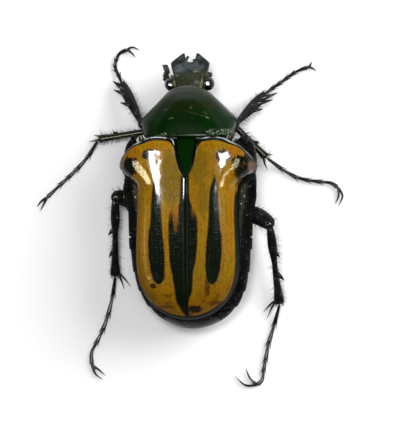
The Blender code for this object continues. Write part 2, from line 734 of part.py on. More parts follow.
def trunk_ring(y, swell):
    """Outline of the trunk across the body at y."""
    shelf = value_at(TRUNK_SHELF, y)
    half = value_at(TRUNK_HALF, y) + swell
    inner = min(case_half(y), case_half(y - TRUNK_INSET)) - TRUNK_INSET
    if y < REAR_CENTRE:
        behind = min((REAR_CENTRE - y) / (REAR_LENGTH - TRUNK_INSET), 1.0)
        inner *= max(1 - behind ** REAR_POWER, 0.0) ** (1 / REAR_POWER)
    inner = min(max(inner, 0.45 * half), half - 0.35)
    widest = value_at(TRUNK_WIDEST, y)
    belly = value_at(TRUNK_BELLY, y)
    power = KEEL_POWER if y > TRUNK_CUT else ROUND_POWER
    right = []
    for part in range(6):
        x = inner * math.sin(part / 5 * math.pi / 2)
        height = back_height(x, y, TRUNK_INSET)
        right.append((x, max(height, shelf) if height > CASE_RIM + 0.3 else shelf))
    right[-1] = (inner, shelf)
    covered = len(right)
    right.append((half - 0.3, shelf - 0.03))
    right.append((half - 0.06, shelf - 0.25))
    right.append((half, widest + 0.25 * (shelf - widest)))
    for part in range(1, 8):
        x = half * math.cos(part / 7 * math.pi / 2)
        drop = (1 - (x / half) ** power) ** (1 / power)
        right.append((x, widest - (widest - belly) * drop))
    left = [(-x, z) for x, z in reversed(right[1:-1])]
    lean = TAIL_LEAN * smooth_step((TRUNK_CUT - y) / (TRUNK_CUT - TAIL_END))
    ring = [Vector((x, y, z)) for x, z in right + left]
    for point in ring[covered:-(covered - 1)]:
        point.x += lean
    return ring


def trunk():
    """The whole trunk in one piece, from the shoulders to the tail."""
    places = [(y, 0.0) for y in CHEST_PLACES]
    start = TRUNK_CUT - GAP
    for end in SEGMENT_ENDS:
        places.append((start, -SEGMENT_STEP))
        places.append(((start + end) / 2, -SEGMENT_STEP / 2))
        places.append((end + 0.08, 0.0))
        start = end
    places.append((SEGMENT_ENDS[-1], -SEGMENT_STEP))
    places += [(y, 0.0) for y in TAIL_PLACES]
    rings = [trunk_ring(y, swell) for y, swell in places]
    rings.append([Vector((TAIL_LEAN, TAIL_END, TAIL_TIP_HEIGHT))])
    return loft("trunk", rings)


def split_trunk():
    """Chest, hind body and tail plate, parted by thin cuts."""
    whole = trunk()
    along_body = Vector((0, 1, 0))
    chest = cut_off(twin(whole, "thorax"), Vector((0, TRUNK_CUT + GAP / 2, 0)), -along_body)
    rear = cut_off(whole, Vector((0, TRUNK_CUT - GAP / 2, 0)), along_body)
    top = Vector((0, *RUMP_TOP))
    foot = Vector((0, *RUMP_FOOT))
    slope = (foot - top).normalized()
    outward = Vector((0, slope.z, -slope.y))
    if outward.y > 0:
        outward = -outward
    plate = cut_off(twin(rear, "pygidium"), top + outward * GAP / 2, -outward)
    rear = cut_off(rear, top - outward * GAP / 2, outward)
    rear.name = "abdomen"
    return chest, rear, plate


def throat():
    """The underside of the neck ring, with the roots of the front legs."""
    rings = []
    for y in THROAT_PLACES:
        foot = value_at(THROAT_FOOT, y)
        pinch = THROAT_PINCH if y in (THROAT_PLACES[0], THROAT_PLACES[-1]) else 1.0
        half = value_at(THROAT_HALF, y) * pinch
        tall = (THROAT_TOP - foot) / 2 * pinch
        rings.append(squared_ring(y, half, tall, (THROAT_TOP + foot) / 2, THROAT_SQUARE, 16))
    body = loft("prosternum", rings)
    roots = leg_roots(FRONT_ROOTS)
    return join_or_cut(body, roots, "UNION")


def round_off(value, power):
    """A cosine or sine pushed towards a square outline."""
    return math.copysign(abs(value) ** power, value)


def squared_ring(y, half, tall, middle, power, sides, rim=0.0):
    """An oval with fuller corners across the body at y. The rim lifts its two sides."""
    ring = []
    for side in range(sides):
        turn = 2 * math.pi * side / sides
        x = half * round_off(math.cos(turn), power)
        z = middle + tall * round_off(math.sin(turn), power) + rim * abs(x / half) ** 4
        ring.append(Vector((x, y, z)))
    return ring


def head():
    """Skull and lobed front plate in one closed shape, with sockets for the eyes."""
    rings = []
    for y in HEAD_PLACES:
        half = value_at(HEAD_HALF, y)
        top = value_at(HEAD_TOP, y)
        foot = value_at(HEAD_FOOT, y)
        power = 2 / value_at(HEAD_POWER, y)
        rings.append(
            squared_ring(y, half, (top - foot) / 2, (top + foot) / 2, power, 20, value_at(HEAD_RIM, y))
        )
    skull = loft("head", rings)
    notch = loft("notch", [[Vector((x, y, z)) for x, y in NOTCH] for z in (2.0, 5.5)])
    sockets = [
        ball("socket", (side * EYE_PLACE[0], *EYE_PLACE[1:]), [size + GAP for size in EYE_SIZE])
        for side in (-1, 1)
    ]
    return join_or_cut(skull, [notch, *sockets], "DIFFERENCE")


def feeler(side):
    """An antenna: its stalk joined to its club."""
    stalk_route, club_route = FEELERS[side]
    stalk = limb("antenna_" + side, stalk_route, STALK, sides=6, bands=2)
    club = limb("club", club_route, CLUB, sides=8, bands=3)
    return join_or_cut(stalk, [club], "UNION")


def mouth():
    """Jaws and lower lip under the front plate, with the two palps that show in its notch."""
    jaw = limb("mouthparts", JAW, JAW_SIZES, sides=12)
    palps = [limb("palp", route, PALP_SIZES, sides=6, bands=3) for route in PALPS]
    return join_or_cut(jaw, palps, "UNION")


def thigh_route(name):
    """Hip to knee, with a bend where the hind thigh leaves the body's side."""
    leg = LEGS[name]
    points = [leg["hip"], leg["knee"]]
    if "bend" in leg:
        points.insert(1, leg["bend"])
    points = [Vector(point) for point in points]
    kind = name.split("_")[0]
    dome = min(THIGH[kind][-1][1:])
    heading = (points[-1] - points[-2]).normalized()
    points[-1] = points[-1] + heading * dome
    return points


def thigh(name, grow=0.0):
    kind = name.split("_")[0]
    return limb(name + "_femur", thigh_route(name), THIGH[kind], sides=12, grow=grow)


def side_of(heading, turn):
    """Level direction to the left of a heading, or to its right for a turn of -1."""
    return Vector((-heading.y, heading.x, 0)).normalized() * turn


def shin(name):
    """Knee to ankle, with its outer teeth and the spurs at its end."""
    kind = name.split("_")[0]
    leg = LEGS[name]
    knee = Vector(leg["knee"])
    ankle = Vector(leg["ankle"])
    heading = (ankle - knee).normalized()
    start = knee + heading * (max(THIGH[kind][-1][1:]) + KNEE_ROOM)
    bone = limb(name + "_tibia", [start, ankle], SHIN[kind], sides=10)
    length = (ankle - start).length
    pieces = []
    for tip in leg["teeth"]:
        share = (Vector((*tip, 0)) - Vector((*start.xy, 0))).dot(heading) / length
        root = start.lerp(ankle, min(share - TOOTH_LEAN, TOOTH_LAST))
        height = root.z - TOOTH_DROP
        pieces.append(spike("tooth", root, (*tip, height), TOOTH_RADIUS))
    for tip in leg["spurs"]:
        root = start.lerp(ankle, SPUR_ROOT)
        aside = Vector((*tip, SPUR_HEIGHT)) - root
        aside -= heading * aside.dot(heading)
        root += aside.normalized() * SPUR_ASIDE
        pieces.append(spike("spur", root, (*tip, SPUR_HEIGHT), SPUR_RADIUS))
    return join_or_cut(bone, pieces, "UNION")


def hoop(centre, heading, radius, sides):
    """A ring of points round a heading, with a flat side below."""
    across = heading.cross(Vector((0, 0, 1))).normalized()
    upward = across.cross(heading)
    turns = (2 * math.pi * (side + 0.5) / sides for side in range(sides))
    return [centre + (across * math.cos(turn) + upward * math.sin(turn)) * radius for turn in turns]


def heading_at(path, share):
    """Direction of a route at a share of its length."""
    return (along(path, min(share + 0.05, 1.0)) - along(path, max(share - 0.05, 0.0))).normalized()


def foot(name):
    """Five toe joints that flare at their ends, their end spines, and two claws, flat on the floor."""
    leg = LEGS[name]
    ankle = Vector(leg["ankle"])
    joints = [Vector((x, y, TOE_HEIGHT)) for x, y in leg["foot"]]
    start = ankle + (joints[0] - ankle).normalized() * FOOT_START[name.split("_")[0]]
    toes = [[start, joints[0]]] + [[a, b] for a, b in zip(joints[:3], joints[1:4])] + [joints[3:]]
    rings = []
    for toe in toes:
        for share, flare in TOE_FLARE:
            rings.append(hoop(along(toe, share), heading_at(toe, share), TOE_RADIUS * flare, 6))
    body = loft(name + "_tarsus", rings)
    pieces = []
    for toe in toes[:-1]:
        heading = heading_at(toe, 1.0)
        for turn in (1, -1):
            tip = toe[-1] + (heading * 0.75 + side_of(heading, turn)) * SPINE_LENGTH
            tip.z = SPINE_HEIGHT
            pieces.append(spike("spine", toe[-1] - heading * TOE_RADIUS, tip, SPINE_RADIUS, sides=4))
    for bend, tip in leg["claws"]:
        path = [joints[-1], Vector((*bend, CLAW_HEIGHT)), Vector((*tip, CLAW_HEIGHT))]
        rings = [hoop(along(path, share), heading_at(path, share), size, 5) for share, size in CLAW_SIZES]
        pieces.append(loft("claw", rings))
    body = join_or_cut(body, pieces, "UNION")
    for vert in body.data.vertices:
        vert.co.z = max(vert.co.z, 0.0)
    return body


def leg_roots(table):
    """Swellings that a pair or two of legs grow from, on both sides."""
    roots = []
    for place, size in table:
        for side in (-1, 1):
            roots.append(ball("root", (side * place[0], *place[1:]), size))
    return roots


def to_metres(objects):
    """Stands the model on z = 0 with the middle of its outline at the origin, and scales it to metres."""
    corners = [vert.co for obj in objects for vert in obj.data.vertices]
    lows = [min(corner[axis] for corner in corners) for axis in range(3)]
    highs = [max(corner[axis] for corner in corners) for axis in range(3)]
    middle = Vector(((lows[0] + highs[0]) / 2, (lows[1] + highs[1]) / 2, lows[2]))
    for obj in objects:
        obj.data.transform(Matrix.Scale(MM, 4) @ Matrix.Translation(-middle))


def dress(obj, material):
    """Sets the material and smooth shading with crisp edges."""
    obj.data.materials.clear()
    obj.data.materials.append(finish_of(material))
    obj.data.shade_smooth()
    obj.data.set_sharp_from_angle(angle=math.radians(40))
    obj.data.name = obj.name
    return obj


def main():
    clear_scene()
    model = []
    right_case = wing_case()
    model.append(dress(right_case, "wing_case"))
    model.append(dress(mirrored(right_case, "wing_case_left"), "wing_case"))
    model.append(dress(small_shield(), "green_shield"))
    model.append(dress(neck_shield(), "green_shield"))

    chest, rear, plate = split_trunk()
    chest = join_or_cut(chest, leg_roots(CHEST_ROOTS), "UNION")
    hollows = [thigh(name, grow=GAP) for name in LEGS if not name.startswith("front")]
    chest = join_or_cut(chest, hollows, "DIFFERENCE")
    under_neck = throat()
    hollows = [thigh(name, grow=GAP) for name in LEGS if name.startswith("front")]
    under_neck = join_or_cut(under_neck, hollows, "DIFFERENCE")
    for obj in (chest, rear, plate, under_neck):
        model.append(dress(obj, "black_body"))

    model.append(dress(head(), "head"))
    model.append(dress(mouth(), "head"))
    for side, label in ((-1, "left"), (1, "right")):
        place = (side * EYE_PLACE[0], *EYE_PLACE[1:])
        model.append(dress(ball("eye_" + label, place, EYE_SIZE), "eye"))
        model.append(dress(feeler(label), "feeler"))

    for name in LEGS:
        model.append(dress(thigh(name), "leg"))
        model.append(dress(shin(name), "leg"))
        model.append(dress(foot(name), "leg"))
    to_metres(model)


main()
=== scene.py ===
"""A Madagascan flower chafer as a still, life-size display model.

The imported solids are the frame. Each operator makes one piece, or a group of like pieces, in the
beetle's own frame: millimetres, +X its right side, +Y towards its head, +Z up, x = 0 its middle and
z = 0 the floor. A finished mesh is then moved to the frame's metres in one step.
"""

import math
import random
from contextlib import contextmanager
from functools import reduce

import bpy
import numpy as np
from bpy.props import FloatProperty, FloatVectorProperty, IntProperty, PointerProperty
from mathutils import Matrix, Vector


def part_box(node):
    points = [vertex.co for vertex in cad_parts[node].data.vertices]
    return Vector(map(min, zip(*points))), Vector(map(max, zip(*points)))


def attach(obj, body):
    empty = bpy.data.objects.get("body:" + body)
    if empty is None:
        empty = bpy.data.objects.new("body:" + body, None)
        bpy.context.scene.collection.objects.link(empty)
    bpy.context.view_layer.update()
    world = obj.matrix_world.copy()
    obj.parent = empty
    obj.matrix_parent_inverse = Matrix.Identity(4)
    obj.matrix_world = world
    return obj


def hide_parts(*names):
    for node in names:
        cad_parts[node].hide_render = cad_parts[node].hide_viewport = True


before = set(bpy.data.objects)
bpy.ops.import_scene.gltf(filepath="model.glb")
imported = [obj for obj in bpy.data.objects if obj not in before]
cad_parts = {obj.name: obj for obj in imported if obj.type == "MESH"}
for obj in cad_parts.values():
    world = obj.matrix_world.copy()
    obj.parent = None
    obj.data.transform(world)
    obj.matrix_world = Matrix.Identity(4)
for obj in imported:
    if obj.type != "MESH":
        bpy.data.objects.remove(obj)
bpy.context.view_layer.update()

bl_info = {
    "name": "Flower Chafer Beetle",
    "version": (1, 0, 0),
    "blender": (4, 5, 0),
    "location": "View3D > Sidebar > Beetle",
    "description": "Builds the shells, legs, hairs and studio of a flower chafer display model",
    "category": "Add Mesh",
}

MM = 0.001
WELD = 0.0005
UP = np.array((0.0, 0.0, 1.0))

# The neck shield's solid gives the beetle's own frame its place
NECK_BASE = 6.87
neck_low, neck_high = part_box("pronotum")
ORIGIN = Vector(((neck_low.x + neck_high.x) / 2, neck_low.y - NECK_BASE * MM, 0.0))
TO_FRAME = Matrix.Translation(ORIGIN) @ Matrix.Scale(MM, 4)

# Wing cases, seen from above and along the body
CASE_ARCH = 0.010
DOME_POWER = 2.8
SHOULDER_END = 4.1
WAIST_START = 2.2
FRONT_CENTRE = 3.6
FRONT_LENGTH = 3.6
FRONT_POWER = 3.5
REAR_CENTRE = -4.8
REAR_LENGTH = 5.05
REAR_POWER = 2.1
TAIL_CORNER = 66
CASE_EDGE = ((3.4, 4.7), (3.9, 4.8), (4.6, 5.25), (5.4, 5.95), (6.1, 6.6), (6.6, 6.9))
SHOULDER_EDGE = (
    (4.1, 6.42), (4.75, 6.12), (5.5, 5.45), (5.97, 4.82), (6.22, 4.2), (6.12, 3.6), (5.65, 2.95),
    (4.9, 2.35), (4.63, 1.6), (4.57, 0.2), (4.65, -2.4), (4.7, -4.4),
)
CASE_FRONT = ((1.0, 6.25), (1.3, 6.68), (2.4, 6.86), (3.4, 6.76))
CASE_SEAM = 0.01
CASE_GRID = (80, 200)  # points across and along
NOTCH_PLACES = (3.5, 3.9, 4.4, 5.0, 5.6)
NOTCH_GAP = 0.07
CASE_ROUND = 0.12
CASE_BEAD = (0.09, 0.06, 0.045)  # distance from the edge, reach and height of its fine bead
CASE_FALL_POWER = 12.0
# Along the body: fall of the back, how square it is across, and the crest of its long ridge with the slopes
# on both sides of it; the right crest lies a little further in at the shoulder
CASE_FALL = (
    (6.86, -0.6), (6.2, -0.32), (5.6, -0.215), (5.0, -0.17), (4.24, -0.12), (2.8, -0.045), (1.5, 0.0),
    (-3.0, -0.1), (-7.0, -0.5), (-8.6, -0.95), (-9.8, -1.6),
)
CASE_AHEAD = 4.5
CASE_SQUARE = (
    (6.6, 5.5), (5.2, 6.0), (4.2, 5.8), (3.4, 5.8), (2.4, 6.8), (1.5, 8.0), (0.5, 9.0), (-0.5, 11.0),
    (-3.5, 12.0), (-5.5, 8.0), (-9.0, 4.0),
)
CREST = (
    (6.6, 3.9), (5.15, 3.75), (4.24, 3.55), (3.33, 3.22), (2.4, 2.9), (1.0, 2.65), (-1.5, 2.7), (-7.2, 2.95),
)
CREST_SHIFT = ((6.6, -0.6), (5.2, -0.5), (3.6, 0.0), (-9.0, 0.0))
CREST_SLOPE = (
    (6.6, 0.16), (5.2, 0.2), (3.6, 0.2), (2.6, 0.16), (1.0, 0.14), (-3.0, 0.1), (-7.0, 0.05), (-9.2, 0.0),
)
CREST_ROUND = ((6.6, 1.5), (3.8, 1.4), (2.6, 0.45), (1.0, 0.35), (-9.0, 0.5))
OUTER_SLOPE = (
    (6.6, 0.0), (5.0, 0.02), (4.2, 0.09), (3.3, 0.11), (2.4, 0.08), (1.4, 0.03), (0.5, 0.0), (-9.2, 0.0),
)
OUTER_ROUND = ((6.6, 0.5), (4.6, 0.4), (3.8, 0.12), (-1.0, 0.12), (-3.0, 0.3), (-9.0, 0.3))
SIDE_LIFT = {  # small differences of height between the right (1) and the left (-1) wing case
    1: (
        (6.6, 0.0), (5.4, 0.0), (4.6, 0.025), (4.1, 0.035), (3.4, 0.008), (2.8, -0.02), (1.5, -0.065),
        (-4.0, -0.03), (-7.0, 0.0),
    ),
    -1: ((6.6, 0.0), (2.8, 0.0), (1.5, -0.005), (0.5, 0.01), (-0.5, 0.01), (-2.5, 0.0)),
}
REAR_KNOB = (3.0, -7.2, 1.1, 1.2, 0.15)  # x, y, reach across, reach along, height
SEAM_RIB = 0.05
SEAM_RIB_REACH = 0.09
RIPPLE = 0.0009
RIPPLE_WAVES = 24

# Small shield between the wing cases
SHIELD_HALF = (
    (6.9, 0.84), (5.9, 0.82), (5.2, 0.74), (4.6, 0.6), (4.1, 0.44), (3.7, 0.26), (3.4, 0.1), (3.28, 0.02),
)
SHIELD_BASE = 6.9
SHIELD_TIP = 3.3
SHIELD_FALL = 0.13
SHIELD_DEPTH = 0.4

# Neck shield
NECK_FRONT = 11.5
NECK_FRONT_SAG = 0.64
NECK_FRONT_HALF = 1.95
NECK_SIDE = ((3.98, 6.87), (4.18, 7.55), (4.28, 8.3), (3.72, 9.05), (2.8, 10.0), (1.95, 10.86))
NECK_CROWN = ((6.8, 7.98), (8.2, 7.71), (9.6, 7.28), (10.6, 6.74), (11.2, 6.12), (11.5, 5.65))
NECK_EDGE = ((6.8, 5.35), (7.6, 4.85), (8.4, 4.55), (9.6, 4.55), (10.9, 4.75))
NECK_POWER = ((6.8, 3.8), (7.6, 3.0), (8.6, 2.4), (11.5, 2.2))
NECK_ROUGH = ((3.1, 7.3, 1.2, 0.35, 5.0), (-1.9, 7.1, 0.5, 0.15, 5.0))  # places where the ripple is higher
NECK_UNDER = ((6.8, 3.78), (9.4, 3.78), (10.3, 4.2), (10.8, 4.95), (11.5, 5.2))
NECK_LIP = 0.35
NECK_BASE_SAG = 0.12
NECK_ROUND = (0.22, 0.2)  # reach and depth of the rounded base
NECK_BEAD = (0.09, 0.05, 0.07)

# Trunk under the wing cases
TRUNK_INSET = 0.7
TRUNK_HALF = (
    (6.6, 4.35), (6.3, 4.85), (5.6, 5.3), (4.3, 5.8), (2.7, 6.08), (0.3, 5.88), (-2.3, 5.8),
    (-3.8, 5.58), (-4.9, 5.44), (-6.5, 5.14), (-8.0, 4.55), (-9.0, 3.8), (-9.8, 2.82), (-10.3, 1.88),
    (-10.6, 0.95), (-10.7, 0.3),
)
TRUNK_SHELF = (
    (6.6, 5.5), (5.0, 5.4), (3.9, 4.55), (-9.3, 4.5), (-9.9, 4.25), (-10.4, 3.7), (-10.7, 3.0),
)
TRUNK_WIDEST = ((6.6, 4.2), (4.0, 3.7), (-2.0, 3.4), (-6.0, 3.3), (-9.0, 3.1), (-10.7, 2.75))
TRUNK_BELLY = (
    (6.6, 2.7), (5.9, 1.7), (4.5, 1.15), (1.0, 0.95), (-2.3, 1.0), (-5.0, 1.15), (-7.5, 1.45),
    (-9.0, 1.85), (-10.1, 2.25), (-10.7, 2.6),
)
TRUNK_CUT = -2.35
TRUNK_SLIT = 0.05
SEGMENT_ENDS = (-3.45, -5.55, -7.3, -8.7)
SEGMENT_SHARES = (0.02, 0.15, 0.4, 0.7, 0.9, 0.97, 1.0)
SEGMENT_STEP = 0.12
TAIL_PLACES = (-8.75, -8.95, -9.2, -9.5, -9.8, -10.05, -10.3, -10.48, -10.6, -10.67)
TAIL_END = -10.7
TAIL_TIP = (0.2, TAIL_END, 2.85)
TAIL_LEAN = 0.2
RUMP_TOP = (-9.25, 5.0)
RUMP_FOOT = (-10.55, 1.9)

# Parts of the chest, on the right: name, middle and half sizes. For the ridges: name, route, sizes, and the
# points round and along
CHEST_BALLS = (
    ("side_plate", (5.35, 4.7, 3.7), (0.75, 1.9, 1.0)),
    ("middle_root", (1.35, 3.95, 1.5), (0.95, 0.75, 0.62)),
    ("hind_root", (2.6, -0.75, 1.62), (2.9, 0.95, 0.68)),
)
CHEST_RIDGES = (
    (
        "side_ridge", ((4.2, 2.75, 4.55), (4.9, 3.1, 4.68), (5.5, 3.12, 4.62), (6.0, 2.8, 4.25)),
        ((0, 0.1, 0.1), (0.5, 0.13, 0.12), (1, 0.08, 0.08)), 12, 24,
    ),
    (
        "side_edge", ((5.95, 2.6, 4.3), (6.02, 1.5, 4.25), (5.85, 0.35, 4.2)),
        ((0, 0.1, 0.1), (0.5, 0.12, 0.1), (1, 0.1, 0.1)), 10, 20,
    ),
)
SHOULDER_PLATE = ((4.5, 5.95, 4.35), (1.3, 0.5, 0.8))
SHOULDER_PLATE_TURN = -50
KEEL = ((0, 0.8, 1.25), (0, 3.0, 1.15), (0, 5.2, 1.25), (0, 6.1, 1.75))
KEEL_SIZES = ((0, 0.5, 0.35), (0.5, 0.6, 0.4), (1, 0.42, 0.32))

# Underside of the neck ring, with the root of the front leg
THROAT_HALF = ((7.1, 2.2), (8.2, 2.7), (9.6, 2.5), (10.6, 1.7))
THROAT_TOP = 3.6
THROAT_MIDDLE = 8.85
THROAT_REACH = 1.75
THROAT_END = 0.7
FRONT_ROOT = ((1.2, 9.45, 1.95), (0.8, 0.82, 0.86))
THROAT_FOOT = ((7.1, 2.3), (8.6, 1.7), (9.8, 1.75), (10.6, 2.4))

# Head, with the two lobes of its front plate
HEAD_REAR = (1.15, 10.9)
HEAD_SIDE = (
    (1.2, 10.9), (1.48, 11.3), (1.53, 12.2), (1.57, 12.55), (1.64, 12.8), (1.74, 13.2), (1.78, 13.52),
)
HEAD_LOBE = (
    (1.78, 13.52), (1.62, 13.72), (1.25, 14.02), (0.9, 14.3), (0.68, 14.44), (0.54, 14.38),
    (0.46, 14.02), (0.38, 13.8), (0.2, 13.66), (0.0, 13.62),
)
HEAD_TOP = ((10.9, 4.95), (11.6, 4.78), (12.2, 4.55), (12.8, 4.2), (13.5, 3.85), (14.42, 3.55))
HEAD_FOOT = ((10.9, 2.7), (11.6, 2.4), (12.2, 2.5), (12.7, 3.0), (13.5, 3.3), (14.42, 3.2))
HEAD_POWER = ((10.9, 2.2), (12.2, 2.6), (13.0, 5.0), (14.42, 5.0))
HEAD_RIM = ((12.4, 0.0), (13.0, 0.1), (13.8, 0.08), (14.42, 0.0))
HEAD_HOLLOW = (0.95, 13.72, 0.42, 0.45, 0.1)
HEAD_BROW = (12.75, 0.12, 0.06)  # y, reach and height of the step behind the front plate
CANTHUS_WIDTH = {-1: 1.9, 1: 1.0}
CANTHUS = ((1.34, 11.2, 4.35), (1.4, 11.7, 4.45), (1.5, 12.15, 4.25), (1.72, 12.42, 3.95))
EYE_PLACE = {-1: (-1.76, 11.6, 3.85), 1: (1.66, 11.66, 3.85)}
EYE_SIZE = (0.58, 0.64, 0.58)
EYE_FACING = (0.0525, 0.075, 1.0)
EYE_FLAT = 0.03
EYE_BEND = 6.0
EYE_SPOT = {-1: (-0.1, -0.12, 0.0), 1: (-0.06, -0.02, 0.0)}
JAW = ((0, 11.75, 1.72), (0, 12.6, 1.98), (0, 13.35, 2.5))
JAW_SIZES = ((0, 0.7, 0.25), (0.4, 0.95, 0.38), (1, 0.6, 0.28))
PALPS = {
    "palp_left": ((-0.6, 12.9, 2.4), (-0.52, 13.5, 2.6), (-0.42, 13.95, 2.7), (-0.24, 14.2, 2.75)),
    "palp_right": ((0.5, 12.9, 2.4), (0.4, 13.4, 2.55), (0.3, 13.75, 2.68), (0.12, 13.9, 2.72)),
}
PALP_SIZES = (
    (0, 0.14, 0.14), (0.3, 0.1, 0.1), (0.6, 0.14, 0.13), (0.72, 0.09, 0.09), (0.88, 0.13, 0.12),
    (1, 0.07, 0.07),
)

# Legs, right and left as they lie. Each foot is a chain of joints from the shin to the claw root.
LEGS = {
    "front_left": {
        "hip": (-1.75, 9.5, 1.55), "knee": (-4.52, 7.95, 3.05), "ankle": (-6.66, 11.85, 0.85),
        "foot": (
            (-7.02, 12.6), (-7.29, 13.04), (-7.31, 13.46), (-7.17, 13.97), (-6.85, 14.5), (-6.2, 14.82),
        ),
        "claws": (((-5.7, 15.05), (-5.05, 14.78)), ((-5.75, 14.5), (-5.42, 14.1))),
        "teeth": ((-6.63, 9.98), (-7.33, 11.16), (-7.4, 11.95)), "spurs": (),
    },
    "front_right": {
        "hip": (1.75, 9.5, 1.55), "knee": (4.12, 7.98, 3.25), "ankle": (6.62, 10.8, 0.85),
        "foot": (
            (7.35, 11.38), (7.96, 11.8), (8.63, 12.3), (9.27, 12.74), (9.9, 13.02), (10.43, 13.18),
        ),
        "claws": (((10.68, 13.4), (10.75, 13.72)), ((10.85, 13.12), (11.22, 12.8))),
        "teeth": ((6.5, 9.34), (7.37, 10.22), (7.77, 10.86)), "spurs": (),
    },
    "middle_left": {
        "hip": (-1.75, 3.9, 0.95), "knee": (-4.0, 7.35, 2.0), "ankle": (-8.75, 6.62, 0.85),
        "foot": (
            (-9.72, 5.1), (-10.76, 3.92), (-11.6, 3.13), (-12.37, 2.44), (-12.98, 1.85), (-13.57, 1.3),
        ),
        "claws": (((-14.13, 0.92), (-14.47, 0.4)), ((-13.9, 0.62), (-14.2, 0.05))),
        "teeth": ((-7.4, 7.3),), "spurs": ((-9.72, 6.4), (-9.3, 7.0)),
    },
    "middle_right": {
        "hip": (1.75, 3.9, 0.95), "knee": (3.75, 7.95, 1.9), "ankle": (6.7, 4.92, 0.85),
        "foot": (
            (8.08, 3.85), (9.42, 3.09), (10.56, 2.85), (11.66, 2.71), (12.53, 2.62), (13.2, 2.2),
        ),
        "claws": (((13.62, 1.44), (13.25, 0.5)), ((13.25, 1.42), (12.95, 0.72))),
        "teeth": ((6.1, 6.3),), "spurs": ((6.75, 3.75), (7.25, 5.15)),
    },
    "hind_left": {
        "hip": (-2.2, -0.4, 0.95), "knee": (-7.0, 1.3, 2.75), "ankle": (-7.22, -5.98, 0.85),
        "bend": (-5.6, 1.05, 2.2),
        "foot": (
            (-7.49, -7.65), (-7.94, -9.47), (-8.44, -10.86), (-9.01, -12.02), (-9.47, -12.95),
            (-9.43, -14.07),
        ),
        "claws": (((-9.12, -14.87), (-8.44, -15.39)), ((-8.8, -14.5), (-8.17, -15.04))),
        "teeth": ((-7.75, -2.2), (-7.72, -4.2)), "spurs": ((-5.87, -6.88), (-6.45, -7.15)),
    },
    "hind_right": {
        "hip": (2.2, -0.4, 0.95), "knee": (7.2, -1.2, 2.75), "ankle": (7.9, -8.5, 0.85),
        "bend": (5.6, -0.3, 2.2),
        "foot": (
            (7.38, -10.3), (6.83, -12.07), (6.55, -13.63), (6.36, -14.62), (6.25, -15.4), (5.78, -15.85),
        ),
        "claws": (((4.71, -15.9), (3.69, -15.04)), ((5.08, -15.2), (4.74, -14.31))),
        "teeth": ((8.05, -4.2), (8.4, -6.3)), "spurs": ((6.7, -9.79), (6.35, -9.2)),
    },
}
# Share of the length, half width and half thickness of each thigh and shin, from the body outwards
THIGH = {
    "front": ((0.0, 0.4, 0.36), (0.25, 0.58, 0.44), (0.55, 0.64, 0.46), (0.85, 0.5, 0.4), (1.0, 0.42, 0.36)),
    "middle": (
        (0.0, 0.38, 0.36), (0.25, 0.56, 0.42), (0.55, 0.62, 0.44), (0.85, 0.48, 0.38), (1.0, 0.4, 0.36),
    ),
    "hind": ((0.0, 0.45, 0.4), (0.3, 0.74, 0.5), (0.6, 0.82, 0.5), (0.85, 0.7, 0.44), (1.0, 0.5, 0.4)),
}
SHIN = {
    "front": (
        (0.0, 0.24, 0.24), (0.12, 0.3, 0.28), (0.3, 0.4, 0.28), (0.6, 0.5, 0.27), (0.85, 0.44, 0.24),
        (1.0, 0.3, 0.22),
    ),
    "middle": (
        (0.0, 0.24, 0.24), (0.1, 0.28, 0.27), (0.5, 0.29, 0.27), (0.8, 0.32, 0.28), (0.95, 0.38, 0.3),
        (1.0, 0.36, 0.28),
    ),
    "hind": (
        (0.0, 0.27, 0.26), (0.1, 0.38, 0.32), (0.27, 0.43, 0.32), (0.45, 0.27, 0.27), (0.62, 0.29, 0.27),
        (0.8, 0.36, 0.3), (0.95, 0.48, 0.34), (1.0, 0.44, 0.3),
    ),
}
HIP_SIZE = (0.42, 0.42, 0.36)
KNEE_GAP = 0.18
TOE_HEIGHT = 0.24
CLAW_HEIGHT = 0.2
CLAW_SIZES = ((0.0, 0.13, 0.14), (0.35, 0.1, 0.12), (0.75, 0.06, 0.07), (1.0, 0.015, 0.015))
SPUR_SIZES = ((0.0, 0.1, 0.1), (0.5, 0.075, 0.075), (1.0, 0.012, 0.012))
TOOTH_SIZES = ((0.0, 0.26, 0.2), (0.5, 0.17, 0.14), (1.0, 0.03, 0.03))
SPUR_HEIGHT = 0.2
TOOTH_DROP = 0.1
SPINE_SIZES = ((0, 0.045, 0.045), (1, 0.01, 0.01))
BRISTLE_SIZES = ((0, 0.05, 0.05), (1, 0.015, 0.015))
TOE_SPINES = ((-0.75, -0.35), (0.75, -0.35), (-0.4, 0.6), (0.4, 0.6))  # sideways and upward, as shares
TOE_PROFILE = (
    (0.0, 0.5), (0.08, 0.62), (0.3, 0.66), (0.7, 0.86), (0.9, 1.0), (0.97, 0.92), (1.0, 0.7),
)

# Hairs: turns of a fringe, how dense it is on the shins, and shares of the length and of the root's radius
SHIN_FRINGE = (200, 340)
ALL_ROUND = (0, 360)
SHIN_HAIRS = {"front": 1.0, "middle": 1.6, "hind": 1.0}
HAIR_TAPER = ((0.0, 1.0), (0.4, 0.8), (0.75, 0.5))
HAIR_DROOP = 0.12
HAIR_SIZES = (0.45, 1.15)
HAIR_STRAY = 0.2
HAIR_LOWEST = 0.12
HAIR_COLUMNS = 24
HAIR_PATCH = 0.0015

